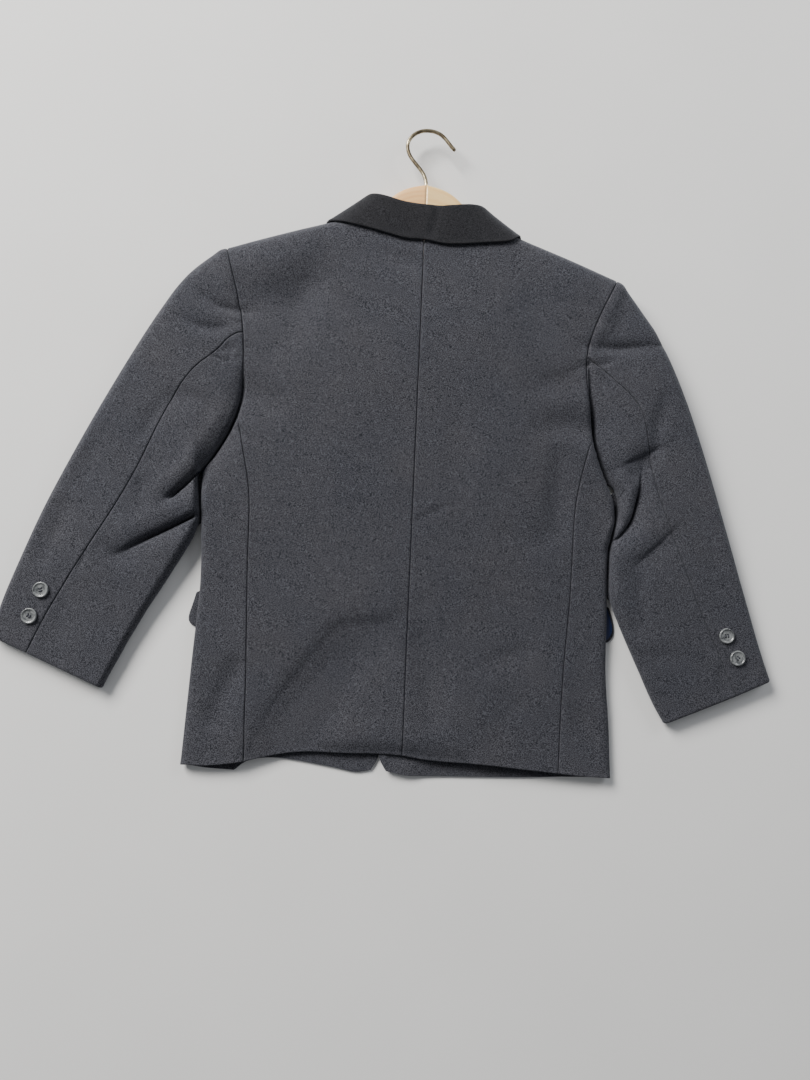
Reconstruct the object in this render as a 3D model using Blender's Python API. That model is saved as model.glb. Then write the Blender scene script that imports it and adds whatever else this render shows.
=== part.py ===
"""Child's suit coat laid face down with its wooden hanger inside.

One closed wall or solid per named piece. The plan tables are millimetres
from the foot of the centre back seam: +X to the wearer's right hand, +Y to
the collar, +Z up through the lying coat. ORIGIN moves them to the frame.
"""
import bmesh
import bpy
import numpy as np
from mathutils import Matrix, Vector

for old in list(bpy.data.objects):
    bpy.data.objects.remove(old, do_unlink=True)

ORIGIN = np.array([-19.0, 305.5, 0.0])
CLOTH = 1.6
COLLAR_CLOTH = 2.0
SEAM = 0.25
FOLD = 9.0
SHOULDER_FOLD = 14.0
SHOULDER_ARC = 23.5
NECK_Y = 516.0
CORNER_Y = 330.0
# Down the outer fold the rows first fan out from the underarm, then step evenly
FAN = (0, 0.45, 1)
COLOURS = {
    "cloth": (0.035, 0.04, 0.052, 1),
    "lining": (0.02, 0.05, 0.3, 1),
    "button": (0.12, 0.12, 0.13, 1),
    "wood": (0.6, 0.42, 0.24, 1),
    "brass": (0.45, 0.33, 0.16, 1),
}

# Each table runs from the hem up, or from the armhole down to the cuff
PLAN = {
    "left": {
        "side": -1,
        "hem": [(0, -2), (-23, -1), (-53, -2), (-91, -1), (-118, -5), (-138, -10), (-149, -12.5)],
        "side_hem": [(-149, -12.5), (-160, -15), (-185, -18), (-208, -18)],
        "seam": [(-149, -12.5), (-151, 57), (-154, 125), (-157, 185), (-157, 224), (-160, 255),
                 (-168, 288), (-176, 325)],
        "armhole": [(-176, 325), (-171, 355), (-172, 388), (-176, 418), (-184, 449), (-196, 488)],
        "edge": [(-208, -18), (-206, 37), (-204, 91), (-202, 131), (-201, 161), (-204, 210),
                 (-206, 234), (-206, 267)],
        "front_seam": [(-158, -17), (-160, 100), (-157, 200), (-163, 285), (-170, 322)],
        "front_armhole": [(-170, 322), (-164, 348), (-162, 380), (-166, 415), (-177, 452), (-196, 488)],
        "front_hem": [(-29, -17), (-38, -19.5), (-46, -19), (-80, -13), (-118, -8), (-140, -11), (-158, -17)],
        "front_side_hem": [(-158, -17), (-169, -20), (-187, -19.5), (-208, -18)],
        "front_edge": [(-29, -17), (-24, -10), (-20, 3), (-12, 35), (-6, 90), (-3, 160), (-3, 252), (-21, 330)],
        "break_line": [(-21, 330), (-53, 472), (-58, 497), (-66, 515), (-75, 527)],
        "top": [(0, NECK_Y), (-25, 517), (-52, 521), (-75, 527), (-98, 520.5), (-128, 510.5), (-164, 499),
                (-196, 488)],
        "front_top": [(-75, 527), (-98, 520.5), (-128, 510.5), (-164, 499), (-196, 488)],
        "outer": [(-196, 488), (-207, 483), (-221, 471), (-237, 455), (-250, 434), (-268, 403), (-290, 361),
                  (-313, 314), (-342, 250), (-357, 214), (-372, 171), (-386, 130), (-394, 95)],
        "inner": [(-206, 267), (-211.3, 263), (-210.9, 255), (-209.1, 246), (-207.4, 236), (-206.5, 224),
                  (-205.8, 212), (-209, 200), (-217.3, 183), (-228.5, 163), (-237.6, 146), (-247, 131), (-257, 111),
                  (-266, 94), (-272.5, 79), (-279.5, 65), (-286, 50)],
        "hindarm": [(-176, 411), (-185, 397), (-197, 380), (-223.5, 358.5), (-248.5, 309), (-263, 269.5),
                    (-285.5, 222.5), (-309, 181.5), (-328.5, 144.5), (-345, 112), (-358, 80)],
        "forearm": [(-170, 322), (-186, 304), (-207, 285), (-223, 262), (-229, 232), (-236, 200), (-251, 166),
                    (-270, 128), (-287, 93), (-303, 56)],
    },
    "right": {
        "side": 1,
        "hem": [(0, -2), (27, -6), (74, -7), (121, -11), (149, -13)],
        "side_hem": [(149, -13), (157, -14), (200, -16)],
        "seam": [(149, -13), (150, 30), (152, 89), (157, 148), (158, 188), (159, 240), (164, 270),
                 (170, 295), (175, 320)],
        "armhole": [(175, 320), (170.5, 345), (165.5, 377), (167, 400), (175.5, 430), (198, 477)],
        "edge": [(200, -16), (198, 37), (195, 68), (194, 94), (195, 129), (194, 181), (195, 212),
                 (202, 238), (197, 258), (190, 272)],
        "front_seam": [(152, -17), (153, 100), (150, 200), (156, 280), (164, 318)],
        "front_armhole": [(164, 318), (158, 343), (157, 378), (161, 415), (174, 446), (198, 477)],
        "front_hem": [(-15, -17), (-4, -20), (11, -21), (59, -20), (115, -19), (152, -17)],
        "front_side_hem": [(152, -17), (170, -16.5), (200, -16)],
        "front_edge": [(-15, -17), (-20, -11), (-22, -3), (-29, 35), (-34, 90), (-37, 160), (-37, 252), (-7, 330)],
        "break_line": [(-7, 330), (52, 472), (58, 493), (66, 508), (75, 524)],
        "top": [(0, NECK_Y), (27, 516.5), (52, 518), (75, 524), (102, 514.5), (132, 502.5), (160, 492),
                (198, 477)],
        "front_top": [(75, 524), (102, 514.5), (132, 502.5), (160, 492), (198, 477)],
        "outer": [(198, 477), (207, 471), (219, 453), (239, 427), (257, 391), (278, 338), (296, 282), (309, 237),
                  (322, 193), (334, 152), (344, 117), (356, 82)],
        "inner": [(190, 272), (200.2, 265), (203.3, 257), (204.4, 247), (203.5, 238), (200.5, 226), (197.1, 212),
                  (196.3, 196), (196, 180), (196.2, 165), (197.5, 152), (200.5, 144), (207, 128), (217, 106),
                  (227, 85), (236.5, 64), (245.5, 47), (252, 37)],
        "hindarm": [(167, 390), (181, 383), (196, 369.5), (210.5, 357.5), (225, 339), (230, 307), (239.5, 262),
                    (257, 218), (284, 148), (299, 115), (321, 66)],
        "forearm": [(164, 318), (180, 302), (200, 284), (214, 260), (221, 236), (217, 208), (218, 178), (224, 148),
                    (240, 106), (268, 42)],
    },
}
# Lowest heights over what lies between the coat and the table: corners, lift
UNDER = {
    "left": [
        ([(-213, 108), (-103, 108), (-103, 153), (-213, 153)], 3.4),
        ([(-3, 252), (-51, 486), (-112, 455), (-96, 400)], 2.7),
        ([(-51, 478), (-70, 545), (-110, 520), (-108, 462)], 3.6),
        ([(-34, 136), (-6, 136), (-6, 164), (-34, 164)], 3.9),
        ([(-34, 226), (-6, 226), (-6, 254), (-34, 254)], 3.9),
    ],
    "right": [
        ([(204, 110), (96, 110), (96, 153), (204, 153)], 3.4),
        ([(-16, 307), (52, 484), (112, 452), (94, 400)], 2.7),
        ([(50, 474), (68, 542), (110, 516), (106, 458)], 3.6),
    ],
}
# Largest folds on the upper side: ends, depth, half width
FOLDS = [
    ((-204, 222), (-292, 182), 4.5, 9),
    ((-206, 264), (-238, 240), 6.0, 10),
    ((-180, 425), (-222, 447), 2.0, 9),
    ((-178, 410), (-238, 419), 2.0, 8),
    ((245, 312), (206, 284), 3.5, 9),
    ((225, 286), (194, 210), 3.0, 8),
    ((254, 218), (225, 196), 2.0, 9),
    ((170, 410), (232, 417), 2.0, 8),
    ((171, 396), (222, 404), 2.0, 8),
]


def path(points, rounds=3):
    """A curve rounded off its table, read by the share of its length."""
    p = np.array(points, float)
    for _ in range(rounds):
        near = 0.75 * p[:-1] + 0.25 * p[1:]
        far = 0.25 * p[:-1] + 0.75 * p[1:]
        p = np.vstack([p[:1], np.stack([near, far], axis=1).reshape(-1, p.shape[1])[1:-1], p[-1:]])
    run = np.concatenate([[0], np.cumsum(np.linalg.norm(np.diff(p, axis=0), axis=1))])
    return lambda share: np.stack([np.interp(np.asarray(share) * run[-1], run, p[:, k])
                                   for k in range(p.shape[1])], axis=-1)


def smooth(t):
    t = np.clip(t, 0, 1)
    return t * t * (3 - 2 * t)


def round_off(distance, reach):
    """Rise of a rounded edge, 0 at the edge and 1 from its reach on."""
    t = 1 - np.clip(distance / reach, 0, 1)
    return np.sqrt(np.clip(1 - t * t, 0, 1))


def thick(x, y):
    """Whole height of the lying body over the table."""
    return (11 + 21 * smooth((y - 50) / 450)) * (1 - 0.15 * (x / 200) ** 2)


def shoulder_reach(side, x, y):
    """Distance in plan below the shoulder line and what carries it on to the neck."""
    line = 488 + (x + 196) * 0.322 if side == "left" else 477 + (198 - x) * 0.382
    return (line - y) * 0.945


def lift(side, x, y):
    """How far the under surface stands off the table."""
    up = np.zeros(np.broadcast(x, y).shape)
    for corners, height in UNDER[side]:
        c = np.array(corners, float)
        step = np.roll(c, -1, axis=0) - c
        turn = np.sign(step[0, 0] * step[1, 1] - step[0, 1] * step[1, 0])
        inside = np.full(up.shape, 1e9)
        for (cx, cy), (sx, sy) in zip(c, step):
            inside = np.minimum(inside, turn * (sx * (y - cy) - sy * (x - cx)) / np.hypot(sx, sy))
        up = np.maximum(up, height * smooth((inside + 30) / 17))
    if side == "right":
        over = smooth((28 - x) / 22) * smooth((368 - y) / 36)
        up = np.maximum(up, over * (lift("left", x, y) + 3.2))
    return up


def fold_depth(x, y):
    """How far the folds press the upper side down."""
    down = np.zeros(np.broadcast(x, y).shape)
    for (x0, y0), (x1, y1), depth, half in FOLDS:
        along = np.clip(((x - x0) * (x1 - x0) + (y - y0) * (y1 - y0)) / ((x1 - x0) ** 2 + (y1 - y0) ** 2), 0, 1)
        off = np.hypot(x - x0 - along * (x1 - x0), y - y0 - along * (y1 - y0))
        down = down + depth * np.exp(-(off / half) ** 2) * (0.35 + 0.65 * np.sin(np.pi * np.clip(along, 0.1, 0.9)))
    return down


def upper(side, x, y, rise=1.0):
    t = thick(x, y)
    return t / 2 + t / 2 * round_off(shoulder_reach(side, x, y), SHOULDER_FOLD) * rise


def lower(side, x, y, rise=1.0):
    mid = thick(x, y) / 2
    return mid - (mid - lift(side, x, y)) * round_off(shoulder_reach(side, x, y), SHOULDER_FOLD) * rise


def patch(near, far, start, end, across, along):
    """Plan grid between two long edges, its first and last rows on their own curves."""
    n, f, u = near(along), far(along), across[:, None]
    rows = []
    for k, v in enumerate(along):
        row = n[k] * (1 - u) + f[k] * u
        row = row + (1 - v) * (start(across) - (near(0) * (1 - u) + far(0) * u))
        row = row + v * (end(across) - (near(1) * (1 - u) + far(1) * u))
        rows.append(row)
    return np.array(rows)


def half_body(side):
    """Outer surface grids of the back, side and front panels of one half."""
    p = PLAN[side]
    low = np.linspace(0, 1, 15)
    up = np.concatenate([np.linspace(0, 0.9, 7), [0.955, 0.988, 1.0]])
    across = np.linspace(0, 1, 10)
    seam, armhole = path(p["seam"]), path(p["armhole"], 2)
    front_seam, front_armhole = path(p["front_seam"]), path(p["front_armhole"], 2)
    front_low, front_up = path(p["front_edge"]), path(p["break_line"], 2)
    edge = path(p["edge"])
    hem, top = path(p["hem"]), path(p["top"], 2)
    front_hem, front_top = path(p["front_hem"], 2), path(p["front_top"], 1)

    def straight(a, b):
        return lambda share: np.asarray(a) + np.asarray(share)[..., None] * (np.asarray(b) - np.asarray(a))

    foot, corner, nape = np.array(p["hem"][0], float), np.array([0, CORNER_Y]), np.array([0, NECK_Y])
    back = np.vstack([
        patch(straight(foot, corner), seam, hem, straight(corner, seam(1)), across, low),
        patch(straight(corner, nape), armhole, straight(corner, seam(1)), top, across, up)[1:],
    ])
    back = np.dstack([back, upper(side, back[..., 0], back[..., 1])])

    low_front = low ** 1.25
    front = np.vstack([
        patch(front_low, lambda s: front_seam(np.interp(s, low_front, low)), front_hem,
              straight(front_low(1), front_seam(1)), across, low_front),
        patch(front_up, front_armhole, straight(front_low(1), front_seam(1)), front_top, across, up)[1:],
    ])
    front = np.dstack([front, lower(side, front[..., 0], front[..., 1])])

    a, e, f = seam(low), edge(low), front_seam(low)
    side_hem, front_side_hem = path(p["side_hem"], 1), path(p["front_side_hem"], 1)
    angles = np.radians([90, 60, 30, 0])
    columns = []
    for share in (0, 0.3, 0.65):
        bend = (1 - low)[:, None] * (side_hem(share) - (a[0] * (1 - share) + e[0] * share)) * 0.9
        xy = a + (e - a) * share + bend
        columns.append(np.column_stack([xy, upper(side, *xy.T)]))
    out = (e - a) / np.linalg.norm(e - a, axis=1)[:, None]
    for t in angles:
        xy = e - out * FOLD * (1 - np.cos(t))
        columns.append(np.column_stack([xy, upper(side, *xy.T, np.sin(t))]))
    out = (e - f) / np.linalg.norm(e - f, axis=1)[:, None]
    for t in angles[::-1][1:]:
        xy = e - out * FOLD * (1 - np.cos(t))
        columns.append(np.column_stack([xy, lower(side, *xy.T, np.sin(t))]))
    for share in (0.5, 1):
        bend = (1 - low)[:, None] * (front_side_hem(1 - share) - (e[0] * (1 - share) + f[0] * share))
        xy = e + (f - e) * share + bend
        columns.append(np.column_stack([xy, lower(side, *xy.T)]))
    flank = np.array(columns).transpose(1, 0, 2)
    return back, flank, front


def across_sleeve(outer, seam, inner, reach, count, seam_at):
    """Plan points and rise from the outer fold over a seam to the inner fold."""
    points, rise = np.zeros((count, 2)), np.ones(count)
    to_seam, to_inner = unit(seam - outer), unit(inner - seam)
    for c in range(count):
        k = count - 1 - c
        turn = np.radians(30 * min(c, k, 3))
        if c <= 3:
            points[c] = outer + to_seam * reach * (1 - np.cos(turn))
        elif k <= 3:
            points[c] = inner - to_inner * reach * (1 - np.cos(turn))
        elif c <= seam_at:
            start = outer + to_seam * reach
            points[c] = start + (seam - start) * (c - 3) / (seam_at - 3)
        else:
            end = inner - to_inner * reach
            points[c] = seam + (end - seam) * (c - seam_at) / (count - 4 - seam_at)
        rise[c] = np.sin(turn)
    return points, rise


def sleeve(side, back, flank, front):
    """Outer surface grid of a whole sleeve, a closed ring of columns per row."""
    p = PLAN[side]
    outer, inner = path(p["outer"]), path(p["inner"])
    corner = len(flank) - 1
    above = len(back) - 1 - corner
    arm = np.vstack([back[:corner:-1, -1], flank[-1], front[corner + 1:-1, -1]])
    under, fore_at, count = above + 6, above + len(flank[0]) - 1, len(arm)
    seam_at = int(np.argmin(np.linalg.norm(arm[:under, :2] - p["hindarm"][0], axis=1)))
    hind = path([arm[seam_at, :2], *p["hindarm"][1:]])
    fore = path([arm[fore_at, :2], *p["forearm"][1:]])
    grid = []
    for v in np.concatenate([[0, 0.02], np.linspace(0.06, 1, 23)]):
        o, i = outer(v), inner(np.interp(v, FAN, (0, 0.1, 1)))
        h, f = hind(np.interp(v, FAN, (0, 0.33, 1))), fore(np.interp(v, FAN, (0, 0.26, 1)))
        full = np.interp(v, [0, 0.25, 0.5, 0.75, 1], [25, 25, 21, 16, 12])
        reach = full * 0.5
        top, top_rise = across_sleeve(o, h, i, reach, under + 1, seam_at)
        low, low_rise = across_sleeve(o, f, i, reach, count - under + 1, count - fore_at)
        upper_z = full / 2 + full / 2 * top_rise
        lower_z = full / 2 - full / 2 * low_rise
        ring = np.vstack([np.column_stack([top, upper_z]), np.column_stack([low, lower_z])[-2:0:-1]])
        if v == 0:
            pull = arm - ring
        grid.append(ring + pull * (1 - smooth(v / 0.42)) ** 1.5)
    grid = np.array(grid)
    grid[0] = arm
    return grid, seam_at, fore_at, under


def unit(v):
    return v / np.maximum(np.linalg.norm(v, axis=-1, keepdims=True), 1e-9)


def grid_normals(grid, closed=False):
    if closed:
        across = np.roll(grid, -1, axis=1) - np.roll(grid, 1, axis=1)
    else:
        across = np.gradient(grid, axis=1)
    return unit(np.cross(across, np.gradient(grid, axis=0)))


def share_normals(grids, normals):
    """Give points that several pieces share one common normal."""
    sums = {}
    for name, grid in grids.items():
        for point, n in zip(grid.reshape(-1, 3), normals[name].reshape(-1, 3)):
            key = tuple(np.round(point * 4).astype(int))
            sums[key] = sums.get(key, np.zeros(3)) + n
    for name, grid in grids.items():
        keys = [tuple(np.round(q * 4).astype(int)) for q in grid.reshape(-1, 3)]
        normals[name] = unit(np.array([sums[k] for k in keys])).reshape(grid.shape)


def draw_in(grid, amount=SEAM):
    """Pull the four borders back from the seams."""
    out = grid.copy()
    out[0] += unit(grid[1] - grid[0]) * amount
    out[-1] += unit(grid[-2] - grid[-1]) * amount
    out[:, 0] += unit(grid[:, 1] - grid[:, 0]) * amount
    out[:, -1] += unit(grid[:, -2] - grid[:, -1]) * amount
    return out


def finish(name, points, faces, colour):
    mesh = bpy.data.meshes.new(name)
    mesh.from_pydata([tuple((np.asarray(q) - ORIGIN) / 1000) for q in points], [], faces)
    mesh.validate()
    bm = bmesh.new()
    bm.from_mesh(mesh)
    bmesh.ops.recalc_face_normals(bm, faces=bm.faces)
    if bm.calc_volume(signed=True) < 0:
        bmesh.ops.reverse_faces(bm, faces=bm.faces)
    bmesh.ops.triangulate(bm, faces=[f for f in bm.faces if len(f.verts) > 4])
    bm.to_mesh(mesh)
    bm.free()
    obj = bpy.data.objects.new(name, mesh)
    bpy.context.scene.collection.objects.link(obj)
    material = bpy.data.materials.new(name)
    material.use_nodes = True
    material.node_tree.nodes["Principled BSDF"].inputs["Base Color"].default_value = COLOURS[colour]
    material.node_tree.nodes["Principled BSDF"].inputs["Roughness"].default_value = 0.7
    mesh.materials.append(material)
    return obj


def wall(name, outer, normals, thickness, colour="cloth"):
    """A closed wall from a grid of outer points."""
    r, c = outer.shape[:2]
    inner = outer - normals * thickness
    points = np.vstack([outer.reshape(-1, 3), inner.reshape(-1, 3)])
    at, back = (lambda i, j: i * c + j), (lambda i, j: r * c + i * c + j)
    faces = []
    for i in range(r - 1):
        for j in range(c - 1):
            faces.append((at(i, j), at(i, j + 1), at(i + 1, j + 1), at(i + 1, j)))
            faces.append((back(i, j), back(i + 1, j), back(i + 1, j + 1), back(i, j + 1)))
    for j in range(c - 1):
        faces.append((at(0, j), back(0, j), back(0, j + 1), at(0, j + 1)))
        faces.append((at(r - 1, j), at(r - 1, j + 1), back(r - 1, j + 1), back(r - 1, j)))
    for i in range(r - 1):
        faces.append((at(i, 0), at(i + 1, 0), back(i + 1, 0), back(i, 0)))
        faces.append((at(i, c - 1), back(i, c - 1), back(i + 1, c - 1), at(i + 1, c - 1)))
    return finish(name, points, faces, colour)


def loft(name, rings, colour):
    """A closed solid through rings of equal count, its ends capped."""
    rings = np.array(rings)
    r, c = rings.shape[:2]
    faces = [tuple(range(c))[::-1], tuple((r - 1) * c + j for j in range(c))]
    for i in range(r - 1):
        for j in range(c):
            k = (j + 1) % c
            faces.append((i * c + j, i * c + k, (i + 1) * c + k, (i + 1) * c + j))
    return finish(name, rings.reshape(-1, 3), faces, colour)


def body_and_sleeves():
    grids, normals = {}, {}
    for side in PLAN:
        back, flank, front = half_body(side)
        tube, seam_at, fore_at, under = sleeve(side, back, flank, front)
        tube[..., 2] -= np.where(np.arange(tube.shape[1]) <= under, 1, 0) * fold_depth(tube[..., 0], tube[..., 1]) \
            * smooth((np.arange(len(tube)) / 3.0))[:, None]
        sign = PLAN[side]["side"]
        tube_normals = grid_normals(tube, closed=True) * sign
        top_order = np.r_[np.arange(fore_at, tube.shape[1]), np.arange(0, seam_at + 1)]
        under_order = np.arange(seam_at, fore_at + 1)
        pieces = {
            f"back_{side}": (back, grid_normals(back) * sign),
            f"side_{side}": (flank, grid_normals(flank) * sign),
            f"front_{side}": (front, -grid_normals(front) * sign),
            f"top_sleeve_{side}": (tube[:, top_order], tube_normals[:, top_order]),
            f"under_sleeve_{side}": (tube[:, under_order], tube_normals[:, under_order]),
        }
        for name, (grid, n) in pieces.items():
            grids[name] = grid
            normals[name] = n
    share_normals(grids, normals)
    for name, grid in grids.items():
        near = shoulder_reach(name.split("_")[-1], grid[..., 0], grid[..., 1]) < 1.2
        normals[name][near & (np.abs(grid[..., 0]) > 70), 2] = 0
        normals[name] = unit(normals[name])
        wall(name, draw_in(grid), normals[name], CLOTH)
    return grids


# Collar stations from the nape to the gorge: leaf edge on the body (x, y and
# which face it lies on), roll line (x, y, z), neck seam (x, y, z)
COLLAR = {
    "left": [
        (0, 502, 1, 0, 543.5, 34, 0, 518, 31.2),
        (-33, 507, 1, -22, 545.5, 34, -24, 519, 31.2),
        (-60, 511.5, 1, -42, 550.5, 33.2, -45, 522.8, 31),
        (-82, 515, 1, -53, 552, 30, -60, 527.5, 28),
        (-93, 517, 1, -58, 550.5, 25, -68.5, 531.5, 22),
        (-99, 519.5, 0, -60, 549, 18, -73.5, 531.5, 16),
        (-101, 514, -1, -59, 545, 11, -69.5, 526.5, 9.5),
        (-102, 505, -1, -56, 536, 5.5, -65, 516.5, 6.2),
        (-102, 492, -1, -53, 520, 4.2, -59.5, 505, 5.4),
        (-100, 480, -1, -51, 502, 3.8, -56, 494, 5.2),
        (-97, 471, -1, -49, 488, 3.6, -53.5, 484, 5),
    ],
    "right": [
        (0, 502, 1, 0, 543.5, 34, 0, 518, 31.2),
        (33, 501, 1, 22, 543, 34, 24, 518.5, 31.2),
        (58, 503, 1, 42, 546, 33.2, 45, 520, 31),
        (80, 506, 1, 54, 546, 30, 60, 524.5, 28),
        (92, 509, 1, 60, 544, 25, 68, 529, 22),
        (99, 515, 0, 62, 543, 18, 72.5, 529, 16),
        (101, 508, -1, 61, 539, 11, 68.5, 523.5, 9.5),
        (102, 498, -1, 57, 530, 5.5, 63, 511.5, 6.4),
        (102, 486, -1, 54, 514, 4.2, 59, 499, 5.4),
        (100, 474, -1, 51, 496, 3.8, 55.5, 488, 5.2),
        (97, 465, -1, 48, 482, 3.6, 52.5, 478, 5),
    ],
}


def over_shoulder(side, x, y, face):
    """Distance on the cloth from the shoulder edge, upper side positive."""
    reach = shoulder_reach(side, x, y)
    turn = np.arccos(1 - np.clip(reach / SHOULDER_FOLD, 0, 1)) / (np.pi / 2)
    return face * (SHOULDER_ARC * turn + max(reach - SHOULDER_FOLD, 0))


def off_body(x, run, amount):
    """A point off the body at a distance over the shoulder edge."""
    side = "left" if x < 0 else "right"
    turn = min(abs(run) / SHOULDER_ARC, 1) * np.pi / 2
    reach = SHOULDER_FOLD * (1 - np.cos(turn)) + max(abs(run) - SHOULDER_ARC, 0)
    y = -reach / 0.945 - shoulder_reach(side, x, 0) / -0.945
    high = upper(side, x, y) if run > 0 else lower(side, x, y)
    plan = np.array([x, y]) + unit(np.array([-0.322, 1]) if x < 0 else np.array([0.382, 1])) * np.cos(turn) * amount
    return np.array([*plan, high + np.sign(run) * np.sin(turn) * amount])


def collar():
    """Leaf, roll and stand as one folded wall round the neck."""
    stations = []
    for side, rows in COLLAR.items():
        table = [[r[0], over_shoulder(side, *r[:3]), *r[3:]] for r in rows]
        stations = table[::-1] + stations if side == "left" else stations + table[1:]
    line = path(stations, 2)
    rings = []
    for share in np.linspace(0, 1, 41):
        x, run, *rest = line(share)
        leaf, roll, stand = off_body(x, run, 2.0), np.array(rest[:3]), np.array(rest[3:])
        ahead = line(min(share + 0.01, 1))[2:5] - line(max(share - 0.01, 0))[2:5]
        out = unit(roll - (leaf + stand) / 2)
        off = unit(np.cross(out, ahead))
        off *= np.sign(np.dot(leaf - stand, off)) or 1
        legs = [leaf, leaf * 0.62 + (roll + off * 1.5) * 0.38, leaf * 0.22 + (roll + off * 1.5) * 0.78,
                roll + off * 1.3 - out * 1.2, roll, roll - off * 1.3 - out * 1.2,
                stand * 0.4 + (roll - off * 1.4) * 0.6, stand]
        legs = np.array(legs)
        step = unit(np.gradient(legs, axis=0))
        side_of = unit(np.cross(step, unit(ahead)))
        half = COLLAR_CLOTH / 2 * 0.85
        rings.append(np.vstack([legs + side_of * half, (legs - side_of * half)[::-1]]))
    loft("collar", rings, "cloth")


# Lapels: lowest and highest y on the break line, and the outer edge from there
LAPELS = {
    "left": (258, 482, [(-8, 258), (-50, 330), (-84, 400), (-106, 440), (-113, 453)]),
    "right": (337, 475, [(1, 337), (48, 375), (84, 412), (106, 438), (113, 449)]),
}


def lapel(side):
    """The turned lapel under the front, with its roll standing beside the front's edge."""
    p = PLAN[side]
    shares = np.linspace(0, 1, 60)
    edge = np.vstack([path(p["front_edge"])(shares), path(p["break_line"], 2)(shares)[1:]])
    edge = edge[np.argmax(edge[:, 1] > 200):]
    bottom, top, outline = LAPELS[side]
    outer = path(outline, 2)
    rings = []
    for v in np.linspace(0, 1, 13):
        y = bottom + (top - bottom) * v
        fold = np.array([np.interp(y, edge[:, 1], edge[:, 0]), y])
        reach = np.linalg.norm(outer(v) - fold)
        out = (outer(v) - fold) / reach
        section = [(reach, 0.1), (reach * 0.66, 0.1), (reach * 0.33, 0.1), (1, 0.1), (-1.4, 0.5), (-2.4, 1.6),
                   (-2.4, 3.1), (-1.5, 4.2), (-0.4, 4.2), (-0.4, 2.1), (reach * 0.33, 2.1), (reach * 0.66, 2.1),
                   (reach, 2.1)]
        rings.append([(*(fold + out * e), z) for e, z in section])
    loft(f"lapel_{side}", rings, "cloth")


FLAPS = {
    "left": [(-105, 152), (-204, 151), (-208, 134), (-212, 120), (-209, 113.5), (-203, 111), (-115, 111),
             (-107, 114), (-104, 122)],
    "right": [(98, 152), (196, 153), (202, 137), (204, 122), (200.5, 115), (195, 111.5), (108, 111),
              (100, 114), (97, 122)],
}


def flap(side):
    outline = np.array(FLAPS[side], float)
    middle = (outline.min(axis=0) + outline.max(axis=0)) / 2
    inset = np.array([9.0, 2.5]) if side == "left" else np.array([2.0, 2.0])
    loft(f"pocket_flap_{side}", [[(x, y, z) for x, y in outline] for z in (0.1, 1.3)], "cloth")
    small = outline - np.sign(outline - middle) * np.minimum(inset, np.abs(outline - middle) * 0.8)
    loft(f"flap_lining_{side}", [[(x, y, z) for x, y in small] for z in (1.65, 2.5)], "lining")


def lathe(profile, count):
    return [[(r * np.cos(a), r * np.sin(a), z) for a in np.linspace(0, 2 * np.pi, count, endpoint=False)]
            for r, z in profile]


def place(obj, at, up):
    """Stand an object made at the origin on a point, its +Z along up."""
    turn = Vector((0, 0, 1)).rotation_difference(Vector(up)).to_matrix().to_4x4()
    obj.matrix_world = Matrix.Translation(Vector(at) / 1000) @ turn


def button(name, at, up, radius=7.5, high=3.0):
    """A rimmed four-hole button."""
    r, h = radius, high
    profile = [(r * 0.82, 0), (r * 0.96, 0.5), (r, h * 0.55), (r * 0.93, h * 0.95), (r * 0.83, h), (r * 0.7, h * 0.72)]
    disc = loft(name, np.array(lathe(profile, 20)) + ORIGIN, "button")
    holes = [(1.25, 1.25), (-1.25, 1.25), (-1.25, -1.25), (1.25, -1.25)]
    points, faces = [], []
    for x, y in holes:
        base = len(points)
        for z in (-1, h + 1):
            points += [(x + 0.75 * np.cos(a), y + 0.75 * np.sin(a), z)
                       for a in np.linspace(0, 2 * np.pi, 8, endpoint=False)]
        faces += [tuple(base + k for k in range(8))[::-1], tuple(base + 8 + k for k in range(8))]
        faces += [(base + k, base + (k + 1) % 8, base + 8 + (k + 1) % 8, base + 8 + k) for k in range(8)]
    drill = finish(f"{name}_drill", np.array(points) + ORIGIN, faces, "button")
    drill.hide_render = True
    drill.display_type = "WIRE"
    cut = disc.modifiers.new("holes", "BOOLEAN")
    cut.operation = "DIFFERENCE"
    cut.solver = "EXACT"
    cut.object = drill
    at = np.asarray(at) - ORIGIN
    place(disc, at, up)
    place(drill, at, up)


def surface_at(grid, x, y):
    """Height and normal of a sleeve's upper surface."""
    q = grid.reshape(-1, 3)
    q = q[q[:, 2] > 6.5]
    q = q[np.argsort(np.hypot(q[:, 0] - x, q[:, 1] - y))[:6]]
    fit, *_ = np.linalg.lstsq(np.column_stack([q[:, 0] - x, q[:, 1] - y, np.ones(len(q))]), q[:, 2], rcond=None)
    return fit[2], unit(np.array([-fit[0], -fit[1], 1.0]))


CUFF_BUTTONS = {"left": [(-348, 140), (-357, 115)], "right": [(310, 124), (321, 103)]}
FRONT_BUTTONS = [(-20, 150), (-20, 240)]
HANGER_Z = 14.5
JOINT_X = 0.6
# Distance out of the joint and y of the upper edge, the same of the lower edge, thickness
ARM = [
    (0.3, 569, 0.3, 536, 13), (13, 566, 12, 533, 13), (23, 562, 22, 529.5, 13), (33, 555, 32, 524, 13),
    (46, 541.5, 43, 512, 12.5), (62, 527, 57, 500, 12), (80, 515, 76, 489, 12), (102, 507, 98, 480, 12),
    (130, 497, 126, 470, 12.5), (152, 488, 148, 459, 14), (169, 480, 166, 453, 15), (178, 474, 175, 456, 13),
    (183, 467, 182, 463, 8),
]
HOOK = [(0.6, 551), (0.6, 562), (0.6, 572), (-1.5, 580), (-6, 587), (-13, 595), (-18, 602), (-20.5, 610),
        (-19.5, 618), (-15, 624.5), (-8, 629), (0, 630.5), (8, 629.5), (15, 626), (20.5, 620), (25, 614), (29, 610)]


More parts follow.
